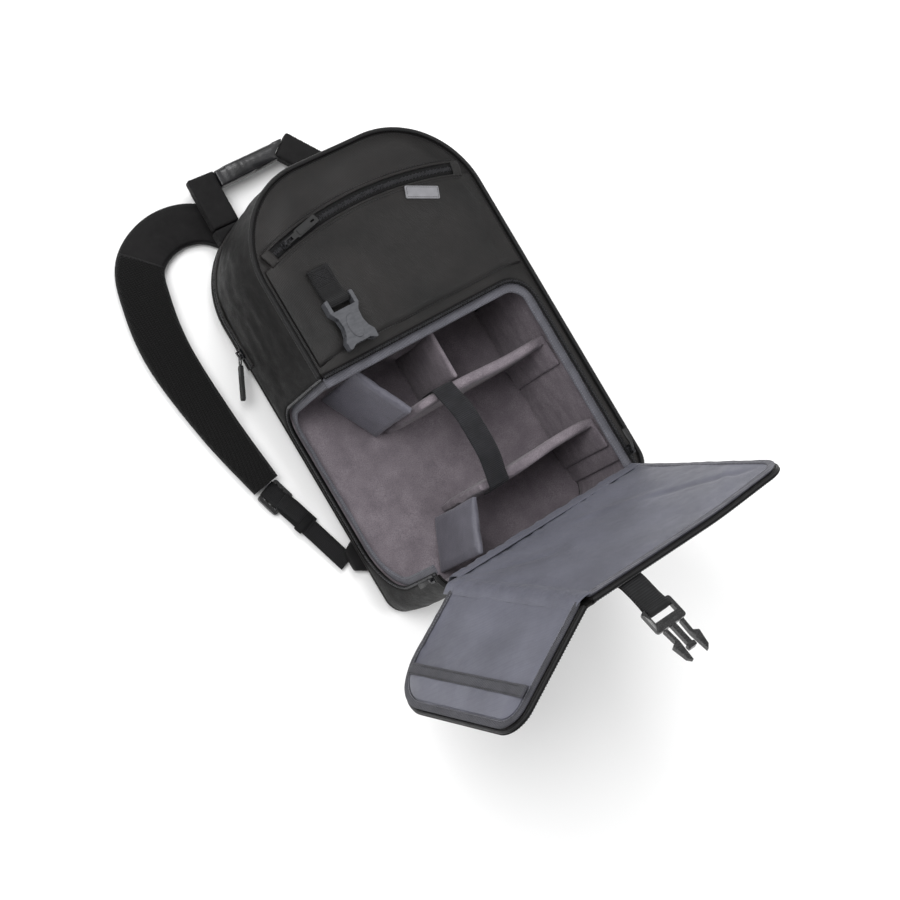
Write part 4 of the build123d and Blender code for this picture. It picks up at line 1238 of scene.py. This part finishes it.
# Zip, cord, binding tape and stitches along the free edge of each of the lid's two panels
for body, line_of, place, out, band_cloth in (
    ("lid", lid_edge, on_lid, lid_out, binding),
    ("lid_side", side_edge_line, on_side_panel, side_out, side_binding),
):
    path = place(at_level(line_of(4.9), -1.6))
    zip_line(f"{body}_zip", path, out, body, [f"{body}_zip_track"], 4.4)
    dress(tube(f"{body}_edge_cord", path - out * 1.6, out, 1.9), piping, body)
    path = place(at_level(line_of(9.4), -7.9))
    tape_edge = ribbon(f"{body}_binding", path, -out, 7.5, 1.6, 7, lift=lambda p: 0.5 * field(p, 12, 58))
    dress(tape_edge, band_cloth, body)
    path = place(at_level(line_of(12.0), -8.9))
    stitch(f"{body}_binding_stitch", path, -out, body, pale_thread)

SLIP_MOUTH = -86.0
slip_above = np.array([(SLIP_MOUTH, -50), (50, -50), (50, 300), (SLIP_MOUTH, 300)], float)
slip_place = facing_in(on_side_panel, 8.3)


def slip_relief(flat, distance):
    """The slip pocket's cloth: loose in its middle, with small pleats across its mouth."""
    points = at_level(flat)
    pleats = field(points * (0.25, 1, 1), 7.0, 61) * smoothstep((flat[:, 0] + 108) / 20)
    return (1.6 + 0.9 * field(points, 26, 62) + 0.9 * pleats) * smoothstep(distance / 12)


slip = panel("side_slip_pocket", side_outline(14.0), slip_place, 0, 1.5, [slip_above], 3.5, 0.7, slip_relief)
dress(slip, lining, "lid_side", ["lid_side_pocket"])
mouth = slip_place(at_level(divide([(SLIP_MOUTH - 4.5, 34), (SLIP_MOUTH - 4.5, 229)], 3, closed=False), 3.1))
hem = ribbon("side_slip_pocket_hem", mouth, -side_out, 12, 1.5, 7, lift=lambda p: 0.5 * field(p, 14, 63))
dress(hem, side_binding, "lid_side")
for number, inset in enumerate((-0.6, -9.0)):
    line = divide([(SLIP_MOUTH + inset, 36), (SLIP_MOUTH + inset, 227)], 3, closed=False)
    path = slip_place(at_level(line, 3.8))
    stitch(f"side_slip_pocket_stitch_{number}", path, -side_out, "lid_side")

# ------------ cloth across the lid's two folds


def fold_strip(name, profile, lengths, place, wave_size, material, gather, seed):
    """A strip of cloth through (across, out) profile points, as long as lengths, with gathers across it."""
    line = smooth_line(profile, 1.2)
    grid = np.array([place(np.insert(line, 1, t, axis=1)) for t in lengths])
    flat = grid.reshape(-1, 3)
    normals = unit(np.cross(np.gradient(grid, axis=0), np.gradient(grid, axis=1))).reshape(-1, 3)
    share = np.tile(np.sin(np.linspace(0, math.pi, len(line))), len(lengths))
    waves = gather * field(flat, wave_size, seed) * share
    piece = cloth_sheet(name, (flat + normals * waves[:, None]).reshape(grid.shape), 1.2)
    return dress(piece, material, None)


fold_lengths = np.arange(13.0, 235.0, 2.2)
outer_fold = fold_strip(
    "fold_cloth",
    [(-124, 0.4), (-129, 0.9), (-134, 0.5), (-138, 1.2), (-142, 3.4), (-145, 5.4)],
    fold_lengths, on_lid, 9.0, shell, 0.5, 71,
)
inner_fold = fold_strip(
    "fold_lining",
    [(-122, -6.6), (-127, -8.4), (-133, -9.2), (-139, -8.4), (-144, -5.8), (-148.5, -2.0)],
    fold_lengths, on_lid, 7.0, lining, 0.9, 72,
)
for piece in (outer_fold, inner_fold):
    ends = on_lid(np.array([(-128.0, 100.0, -4.0), (-143.0, 100.0, -4.0)])) * MM
    tuple(ends[0])
    tuple(ends[1])
    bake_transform(piece)


def along_hinge(points):
    """Takes (height, X, along the bag) points to the bag's frame."""
    points = np.asarray(points, float)
    return np.column_stack([points[:, 1], points[:, 2], points[:, 0]])


hinge_lengths = np.arange(-126.0, 120.0, 2.4)
inner_hinge = fold_strip(
    "hinge_lining",
    [(128, -213.4), (138, -212.6), (147, -210.6), (155, -207.6), (164, -209.6), (172, -211.8)],
    hinge_lengths, along_hinge, 8.0, lining, 1.5, 73,
)
outer_hinge = fold_strip(
    "hinge_cloth",
    [(146, -220.5), (151, -218.5), (155, -217.2), (160, -217.8), (166, -219.2)],
    hinge_lengths, along_hinge, 9.0, shell, 0.4, 74,
)
for piece in (inner_hinge, outer_hinge):
    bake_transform(piece)

# ------------ buckle straps

PATCH_HALF_WIDTH = 9.5


def buckle_strap(name, place, profile, patch, body, node):
    """Webbing through (along, out) profile points, sewn down between the two ends of its patch."""
    line = smooth_line(profile, 1.4)
    path = place(np.column_stack([np.full(len(line), BUCKLE_X), line]))
    across = place([(1, 0, 0)])[0] - place([(0, 0, 0)])[0]
    ups = unit(np.cross(across, tangents(path)))
    webbing = ribbon(f"{name}_web", path, ups, WEBBING, 1.7, 9)
    direction = unit(place([(0, 1, 0)])[0] - place([(0, 0, 0)])[0])
    cloth = black_webbing(f"{name}_webbing", direction)
    dress(webbing, cloth, body, [node])
    near, far = patch
    left, right = BUCKLE_X - PATCH_HALF_WIDTH, BUCKLE_X + PATCH_HALF_WIDTH
    box_line = [(left, near), (right, near), (right, far), (left, far), (left, near), (right, far)]
    cross_line = [(left, far), (right, near)]
    out = unit(place([(0, 0, 1)])[0] - place([(0, 0, 0)])[0])
    for number, corners in enumerate((box_line, cross_line)):
        path = place(at_level(divide(corners, 2.0, closed=False), 4.2))
        stitch(f"{name}_stitch_{number}", path, out, body, pitch=2.4, size=(1.6, 0.5, 0.5))


on_pocket = place_in((0, 0, POCKET_TOP), (1, 0, 0), (0, 1, 0), UP)
socket_loop = [(121, 1.0), (105, 1.0), (90, 1.4), (82.8, 3.4), (78.8, 5.4), (78.8, 8.6), (82.6, 10.5)]
socket_loop += [(87, 6.5), (93, 4.4), (104, 3.2), (121, 3.1)]
buckle_strap("buckle_strap", on_pocket, socket_loop, (103.0, 118.5), "bag", "buckle_webbing")

# The plug's bar, as (distance from the hinge, distance out of the lid's face)
PLUG_TILT = math.radians(50.0)
plug_ahead = np.array((math.cos(PLUG_TILT), math.sin(PLUG_TILT)))
plug_aside = np.array((-plug_ahead[1], plug_ahead[0]))
plug_bar = np.array((231.0, 1.0)) + plug_ahead * 36.0
round_the_bar = [(-12, -1.2), (-4, -2.4), (1.4, -3.4), (3.6, 0)]
round_the_bar += [(1.4, 3.4), (-4, 2.4), (-12, 1.4), (-24, 1.6)]
lid_loop = [(196, 1.0), (214, 1.0), (228, 1.2), (235, 4.6)]
lid_loop += [tuple(plug_bar + plug_ahead * a + plug_aside * b) for a, b in round_the_bar]
lid_loop += [(228, 3.4), (214, 3.1), (196, 3.1)]
buckle_strap("lid_strap", on_lid, lid_loop, (199.0, 222.0), "lid", "lid_webbing")
keep_node("buckle_socket", grey_plastic, 0.8)
for node in ("buckle_plug", "left_latch_arm", "right_latch_arm"):
    keep_node(node, black_plastic, 0.6)

# ------------ zip sliders and pulls

for node in ("pocket_slider", "main_slider", "right_lid_slider", "left_lid_slider", "main_pull_ring"):
    keep_node(node, enamel, 0.35)
for node in ("pocket_pull", "main_pull"):
    keep_node(node, rubber, 0.5)

# Short rubber pulls on the lid's two sliders
left_pull = [(LEFT - 4.9, -201.2, 141), (LEFT - 6.4, -201.6, 134), (LEFT - 6.0, -202, 119)]
right_pull = [(OPEN_RIGHT + 1.2, -194, 160.4), (129, -186, 161), (131, -172, 158.4)]
for node, points, out in (
    ("left_lid_slider", left_pull, LEFTWARD),
    ("right_lid_slider", right_pull, UP),
):
    path = smooth_line(points, 1.5)
    widths = 3.4 + 2.2 * smoothstep(np.linspace(-0.5, 1.6, len(path)))
    pull = ribbon(f"{node}_pull", path, out, widths, 1.9, 7)
    dress(pull, rubber, node)

# ------------ main zip along the back edge

main_low, main_high = box_mm("main_zip_track")
MAIN_Z = (main_low[2] + main_high[2]) / 2
MAIN_END = main_low[1]
line = silhouette(-0.5, 2.5)
line = line[line[:, 1] > MAIN_END]
line = line[np.argsort(np.arctan2(line[:, 0], line[:, 1] - MAIN_END + 40))]
outward = tangents(line)
outward = np.column_stack([-outward[:, 1], outward[:, 0], np.zeros(len(line))])
zip_line("main_zip", at_level(line, MAIN_Z), outward, "bag", ["main_zip_track"], 10.0, 1.5, (0.95, 2.8, 2.0))
for number, level in enumerate((MAIN_Z - 6.4, MAIN_Z + 6.6)):
    welt = at_level(line, level) + outward * 0.8
    dress(tube(f"main_zip_welt_{number}", welt, outward, 1.4), shell, "bag")

# ------------ handle

for node, body, slot in (("handle_tabs", "bag", "shell_fabric"), ("handle_webbing", "handle", "webbing")):
    dress(soft_copy(node, f"{node}_cloth", 1.6, rounds=6), cover, body, [node])
grip = soft_copy("handle_grip", "handle_grip_pad", 2.0, shrink=0.6, rounds=5)
inflate(grip, 2.0, pressure=4.0)
points = read_points(grip) / MM
wrinkles = field(points * (1, 0.16, 0.3), 6.5, 45) * smoothstep((4 - points[:, 0]) / 60)
points[:, 2] += 1.3 * wrinkles
write_points(grip, points * MM)
dress(grip, leather, "handle", ["handle_grip"])
GRIP_STITCH_OFFSET = 7.8
GRIP_STITCH_LEVEL = 25.9
grip_line = divide([(-60, 275.1), (12, 277.4)], 2.0, closed=False)
for number, offset in enumerate((-GRIP_STITCH_OFFSET, GRIP_STITCH_OFFSET)):
    path = at_level(grip_line + (0, offset), GRIP_STITCH_LEVEL)
    stitch(f"handle_grip_stitch_{number}", path, UP, "handle", pitch=3.0)

# ------------ shoulder straps

# Middle line of each strap on the ground, from the bag's top to its ladder lock
STRAP_LINES = {
    "left": [
        (-58, 200), (-96, 242), (-140, 250), (-181, 230), (-198, 188), (-206, 128), (-199, 42), (-186, -34),
    ],
    "right": [
        (58, 200), (80, 232), (110, 224), (146, 200), (172, 166), (186, 118), (187, 42), (182, -34),
    ],
}
STRAP_HALF_WIDTHS = [18, 22, 24, 25, 25, 24, 20, 15]
STRAP_AXIS = {"left": -148.0, "right": 153.0}
STRAP_TILT = [0, 0, 2, 8, 12, 14, 18, 24]
STRAP_MIDDLE_Z = 5.4


def strap_frame(side):
    """A strap's middle line, its sideways direction and half width at each point."""
    sign = -1 if side == "left" else 1
    table = np.column_stack([STRAP_LINES[side], STRAP_HALF_WIDTHS, STRAP_TILT])
    dense = smooth_line(table, 3.0)
    middle = at_level(dense, STRAP_MIDDLE_Z)
    ahead = tangents(middle)
    sideways = unit(np.cross(ahead, (0, 0, 1.0))) * sign
    lean = np.radians(dense[:, 3])[:, None]
    sideways = sideways * np.cos(lean) + np.array((0, 0, 1.0)) * np.sin(lean)
    middle[:, 2] += dense[:, 2] * np.abs(np.sin(lean[:, 0])) * 0.8
    return middle, sideways, dense[:, 2]


def strap_swell(shares):
    """How far a strap is swollen, from 1 on its middle line to 0 at its edges (shares of -1 and 1)."""
    return 1 - np.abs(shares) ** 3.2


def strap_layer(side, part, first, last, low, high, material, node, seed):
    """One face of a strap between two shares of its length, swollen between its edges."""
    middle, sideways, half = strap_frame(side)
    count = len(middle)
    picked = slice(int(first * count), max(int(last * count), 2))
    middle, sideways, half = middle[picked], sideways[picked], half[picked]
    shares = np.linspace(-1, 1, 15)
    out = unit(np.cross(sideways, tangents(middle)))
    out[out[:, 2] < 0] *= -1
    grid = middle[:, None, :] + shares[None, :, None] * (half - 1.6)[:, None, None] * sideways[:, None, :]
    puff = strap_swell(shares)[None, :, None]
    dents = 0.7 * field(grid.reshape(-1, 3), 26, seed).reshape(*grid.shape[:2], 1)
    level = (low + high) / 2
    crown = (high - low) * (0.45 + 0.55 * puff)
    grid = grid + out[:, None, :] * (level + dents * puff * 0.6)
    piece = cloth_sheet(f"{side}_strap_{part}", grid, crown[..., 0])
    return dress(piece, material, None, [f"{side}_strap_{node}"])


def strap_hinge(piece):
    """Bakes a piece of strap's placement into its mesh."""
    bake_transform(piece)


def strap_end_pieces(side):
    """The strap's ladder lock, its webbing, the tail of it and the tab on the bag."""
    sign = -1 if side == "left" else 1
    body = f"{side}_strap"
    keep_node(f"{side}_ladder_lock", black_plastic, 0.7)
    lock_low, lock_high = box_mm(f"{side}_ladder_lock")
    lock = (lock_low + lock_high) / 2
    anchor = np.array((STRAP_AXIS[side] + sign * 0.8, -146.0))
    ahead = unit(anchor - lock[:2])
    reach = np.linalg.norm(anchor - lock[:2])
    profile = [(-14, 5.6), (-8, 6.0), (0, 6.4), (8, 5.6), (16, 4.4)]
    profile += [(reach * 0.5, 5.2), (reach - 12, 4.2), (reach, 4.0)]
    path = smooth_line([(*(lock[:2] + ahead * s), z) for s, z in profile], 2.5)
    cloth = black_webbing(f"{side}_webbing", (*ahead, 0), shade(17, 17, 18), shade(28, 28, 30))
    web = ribbon(f"{side}_strap_web", path, UP, 20, 1.9)
    dress(web, cloth, body, [f"{side}_strap_webbing"])
    sideways = np.array((-ahead[1], ahead[0]))
    tail = [(6, 3.0, 7.2), (20, 5.0, 8.6), (36, 7.0, 6.8), (48, 8.0, 6.0)]
    path = smooth_line([(*(lock[:2] + ahead * s + sideways * w * 0.4), z) for s, w, z in tail], 2.5)
    dress(ribbon(f"{side}_strap_tail", path, UP, 19, 1.6), cloth, body)
    loop = []
    for turn in np.linspace(0, 2 * math.pi, 29):
        across, rise = 11.6 * math.cos(turn), 4.4 * math.sin(turn)
        loop.append((*(lock[:2] + ahead * 40 + sideways * across), 5.6 + rise))
    dress(ribbon(f"{side}_strap_keeper", loop, (*ahead, 0), 1.6, 9), tape, body)
    piece = soft_copy(f"{side}_anchor_tab", f"{side}_anchor_cloth", 1.5, rounds=5)
    dress(piece, cover, "bag", [f"{side}_anchor_tab"])


for side, turn_share in (("left", 0.36), ("right", 0.40)):
    mesh_start = turn_share - 0.012
    layers = [
        strap_layer(side, "cover", 0, 1, -4.6, 0.2, cover, "yoke", 81),
        strap_layer(side, "top", 0, turn_share, 0.0, 4.4, cover, "yoke", 82),
        strap_layer(side, "mesh", mesh_start, 1, 0.0, 4.8, air_mesh, "pad", 83),
    ]
    middle, sideways, half = strap_frame(side)
    here = int(mesh_start * len(middle))
    shares = np.linspace(-1, 1, 25)
    rise = 2.4 + 2.4 * (0.45 + 0.55 * strap_swell(shares)) - 0.2
    seam = middle[here] + shares[:, None] * (half[here] - 1.6) * sideways[here] + rise[:, None] * (0, 0, 1.0)
    cords = [tube(f"{side}_strap_joint", seam, UP, 1.1)]
    for number, sign in enumerate((-1, 1)):
        line = middle + sideways * (half - 1.4)[:, None] * sign
        cords.append(tube(f"{side}_strap_edge_{number}", line, UP, 2.1))
    for cord in cords:
        dress(cord, piping, None)
    for piece in (*layers, *cords):
        strap_hinge(piece)
    strap_end_pieces(side)

# ------------ right side

pocket_low, pocket_high = box_mm("side_pocket")
grid = []
for y in np.linspace(pocket_low[1] + 1, pocket_high[1], 56):
    share = (y - pocket_low[1]) / (pocket_high[1] - pocket_low[1])
    fullness = 6.5 + 3.5 * smoothstep(1 - share)
    closing = smoothstep(share * 6 + 0.15)
    row = []
    for turn in np.linspace(0, 1, 37):
        z = pocket_low[2] + 1 + (pocket_high[2] - pocket_low[2] - 2) * turn
        bulge = math.sin(math.pi * turn) ** 0.45 * fullness * closing
        row.append((RIGHT + 0.8 + bulge, y, z))
    grid.append(row)
grid = np.array(grid)
grid[..., 0] += 0.6 * field(grid.reshape(-1, 3), 22, 91).reshape(grid.shape[:2])
mesh_pocket = cloth_sheet("side_mesh_pocket", grid, 1.4)
dress(mesh_pocket, stretch, "bag", ["side_pocket"])
dress(tube("side_pocket_hem", grid[-1], (0, 1, 0), 2.4), binding, "bag")
for number, column in enumerate((0, -1)):
    dress(tube(f"side_pocket_seam_{number}", grid[:, column], (1, 0, 0), 1.6), piping, "bag")

low, high = box_mm("compression_strap")
y = (low[1] + high[1]) / 2
path = [(RIGHT + 4.6, y, low[2]), (RIGHT + 5.0, y, 70), (RIGHT + 4.8, y, 110), (RIGHT + 3.6, y, high[2])]
upright = black_webbing("side_webbing", UP)
compression = ribbon("compression_web", smooth_line(path, 3.0), (1, 0, 0), high[1] - low[1], 1.8)
dress(compression, upright, "bag", ["compression_strap"])
keep_node("compression_lock", black_plastic, 0.5)

# ------------ floor, light and camera

FLOOR_SIZE = 14.0
FLOOR_DROP = 0.0012
bpy.ops.mesh.primitive_plane_add(size=FLOOR_SIZE, location=(0, 0, -FLOOR_DROP))
floor = bpy.context.object
floor.name = "floor"
floor_look = Look("floor", 0.9, specular=0.1)
floor_blotches = floor_look.noise(900.0)
floor_look.colour(floor_look.spread(floor_blotches, 0.3, 0.7, shade(246, 246, 246), shade(250, 250, 250)))
floor.data.materials.append(floor_look.material)

scene.view_settings.view_transform = "Standard"
world = bpy.data.worlds.new("studio")
world.use_nodes = True
world.node_tree.nodes["Background"].inputs["Color"].default_value = (1, 1, 1, 1)
world.node_tree.nodes["Background"].inputs["Strength"].default_value = 0.6
scene.world = world

AIM = Vector((-27.03, -99.45, 100.0)) * MM


def area_light(name, place, power, size):
    """A soft box pointed at the bag."""
    data = bpy.data.lights.new(name, "AREA")
    data.energy = power
    data.shape = "DISK"
    data.size = size
    lamp = bpy.data.objects.new(name, data)
    lamp.location = place
    lamp.rotation_mode = "QUATERNION"
    lamp.rotation_quaternion = (AIM - lamp.location).to_track_quat("-Z", "Y")
    scene.collection.objects.link(lamp)


area_light("key", (-1.4, 0.7, 2.4), 50.0, 1.5)
area_light("fill", (1.5, -1.3, 2.2), 22.0, 1.6)
area_light("top", (0.4, 1.7, 2.3), 26.0, 1.2)

CAMERA_AZIMUTH = math.radians(27.67)
CAMERA_TILT = math.radians(-0.916)
CAMERA_ROLL = math.radians(30.556)
CAMERA_DISTANCE = 1820.27 * MM
CAMERA_LENS = 70.65
SENSOR_WIDTH = 36.0
aside, level = math.sin(CAMERA_AZIMUTH), math.cos(CAMERA_AZIMUTH)
camera_back = Vector((-aside * math.cos(CAMERA_TILT), math.sin(CAMERA_TILT), level * math.cos(CAMERA_TILT)))
level_up = Vector((0, 1, 0)) - camera_back * camera_back.y
level_up.normalize()
level_right = (-camera_back).cross(level_up)
camera_right = level_right * math.cos(CAMERA_ROLL) - level_up * math.sin(CAMERA_ROLL)
camera_up = level_right * math.sin(CAMERA_ROLL) + level_up * math.cos(CAMERA_ROLL)
camera_data = bpy.data.cameras.new("camera")
camera_data.sensor_width = SENSOR_WIDTH
camera_data.lens = CAMERA_LENS
camera = bpy.data.objects.new("camera", camera_data)
camera.rotation_mode = "QUATERNION"
camera.rotation_quaternion = Matrix((camera_right, camera_up, camera_back)).transposed().to_quaternion()
camera.location = AIM + camera_back * CAMERA_DISTANCE
scene.collection.objects.link(camera)
scene.camera = camera
